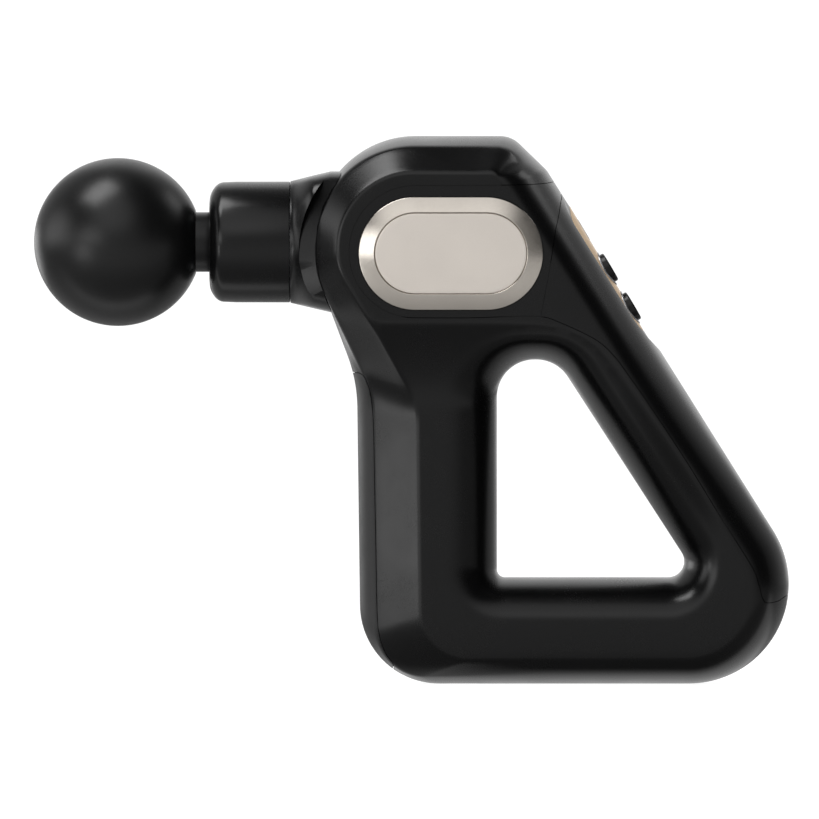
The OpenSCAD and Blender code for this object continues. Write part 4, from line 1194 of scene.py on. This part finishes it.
def lobe(direction, inner, outer, level):
    """Soft round patch of light in the surroundings."""
    d = Vector(direction).normalized()
    v = wn.nodes.new("ShaderNodeVectorMath")
    v.operation = "DOT_PRODUCT"
    wn.links.new(tc.outputs["Generated"], v.inputs[0])
    v.inputs[1].default_value = d
    r = wn.nodes.new("ShaderNodeMapRange")
    r.interpolation_type = "SMOOTHSTEP"
    r.inputs["From Min"].default_value = math.cos(math.radians(outer))
    r.inputs["From Max"].default_value = math.cos(math.radians(inner))
    r.inputs["To Min"].default_value, r.inputs["To Max"].default_value = 0.0, level
    wn.links.new(v.outputs["Value"], r.inputs["Value"])
    return r.outputs["Result"]


LOBES = [((0, -1, 0), 2, 52, 0.42), ((-0.1, -0.74, 0.66), 10, 36, 0.9), ((-0.63, -0.775, 0.0), 8, 24, 2.3), ((-1, 0, 0.05), 6, 34, 2.0), ((0, 1, 0.3), 30, 80, 0.25)]
total = None
for spec in LOBES:
    out = lobe(*spec)
    if total is None:
        total = out
    else:
        q = wn.nodes.new("ShaderNodeMath")
        q.operation = "ADD"
        wn.links.new(total, q.inputs[0])
        wn.links.new(out, q.inputs[1])
        total = q.outputs[0]


def wmath(op, a, b=None, c=None):
    q = wn.nodes.new("ShaderNodeMath")
    q.operation = op
    for i, v in enumerate((a, b, c)):
        if isinstance(v, (int, float)):
            q.inputs[i].default_value = v
        elif v is not None:
            wn.links.new(v, q.inputs[i])
    return q.outputs[0]


def wsoft(src, a, b, lo, hi):
    r = wn.nodes.new("ShaderNodeMapRange")
    r.interpolation_type = "SMOOTHSTEP"
    for k, v in (("From Min", a), ("From Max", b), ("To Min", lo), ("To Max", hi)):
        r.inputs[k].default_value = v
    wn.links.new(src, r.inputs["Value"])
    return r.outputs["Result"]


# a bright panel behind the object, and plain white for whatever the camera sees past the floor
sep = wn.nodes.new("ShaderNodeSeparateXYZ")
wn.links.new(tc.outputs["Generated"], sep.inputs[0])
ratio = wmath("DIVIDE", sep.outputs["X"], wmath("MAXIMUM", sep.outputs["Y"], 0.02))
panel_l = wsoft(wmath("ABSOLUTE", wmath("SUBTRACT", ratio, 0.08)), 0.25, 0.62, PAPER_BACK + 0.08, PAPER_SIDE * PAPER_BACK + 0.04)
panel_l = wmath("MULTIPLY", panel_l, wsoft(sep.outputs["Y"], 0.0, 0.1, 0.0, 1.0))
panel_l = wmath("MULTIPLY", panel_l, wsoft(sep.outputs["Z"], 0.72, 0.9, 1.0, 0.0))
total = wmath("ADD", wmath("ADD", total, panel_l), 0.03)
wl = wn.nodes.new("ShaderNodeLightPath")
seen = wl.outputs["Is Camera Ray"]
total = wmath("ADD", wmath("MULTIPLY", total, wmath("SUBTRACT", 1.0, seen)), wmath("MULTIPLY", seen, 1.1))
wn.links.new(total, bg.inputs["Strength"])
bg.inputs["Color"].default_value = (1, 1, 1, 1)


def area(name, loc, target, size, power_w, size_y=None, col=(1, 1, 1)):
    l = bpy.data.lights.new(name, "AREA")
    l.shape = "RECTANGLE"
    l.size, l.size_y = size, size_y or size
    l.energy = power_w
    l.color = col
    o = bpy.data.objects.new(name, l)
    bpy.context.scene.collection.objects.link(o)
    o.location = loc
    o.rotation_mode = "QUATERNION"
    o.rotation_quaternion = (Vector(target) - Vector(loc)).to_track_quat("-Z", "Y")
    return o


def softbox(name, direction, distance, size, level, size_y=None, about=(0, 0, 0)):
    """Area light by direction and brightness."""
    d = Vector(direction).normalized()
    c = Vector(about) + Vector(OFF)
    return area(name, c + d * distance, c, size, level * math.pi * size * (size_y or size), size_y)


softbox("key_top_left", (-0.42, -0.22, 0.87), 0.85, 0.36, 6.5, 0.5)
softbox("left_low", (-0.69, -0.64, -0.27), 0.42, 0.13, 3.0, about=(-0.1, 0, 0))
softbox("left_back_low", (-0.62, 0.78, -0.05), 0.75, 0.3, 1.4, 0.4, about=(-0.02, 0, -0.1))
softbox("rim_back_right", (0.75, 0.35, 0.65), 0.8, 0.25, 1.6)

cam_data = bpy.data.cameras.new("camera")
cam = bpy.data.objects.new("camera", cam_data)
bpy.context.scene.collection.objects.link(cam)
cam_data.type = "PERSP"
cam_data.lens, cam_data.sensor_width = 500, 36
dist = 0.325 * 819 * MM * cam_data.lens / cam_data.sensor_width
cam.location = Vector(((409.5 - 440) * 0.325 * MM, -dist, (242 - 409.5) * 0.325 * MM)) + Vector(OFF)
cam.rotation_euler = (math.radians(90), 0, 0)
cam_data.clip_start, cam_data.clip_end = 0.1, 20
bpy.context.scene.camera = cam
bpy.context.scene.view_settings.view_transform = "Standard"
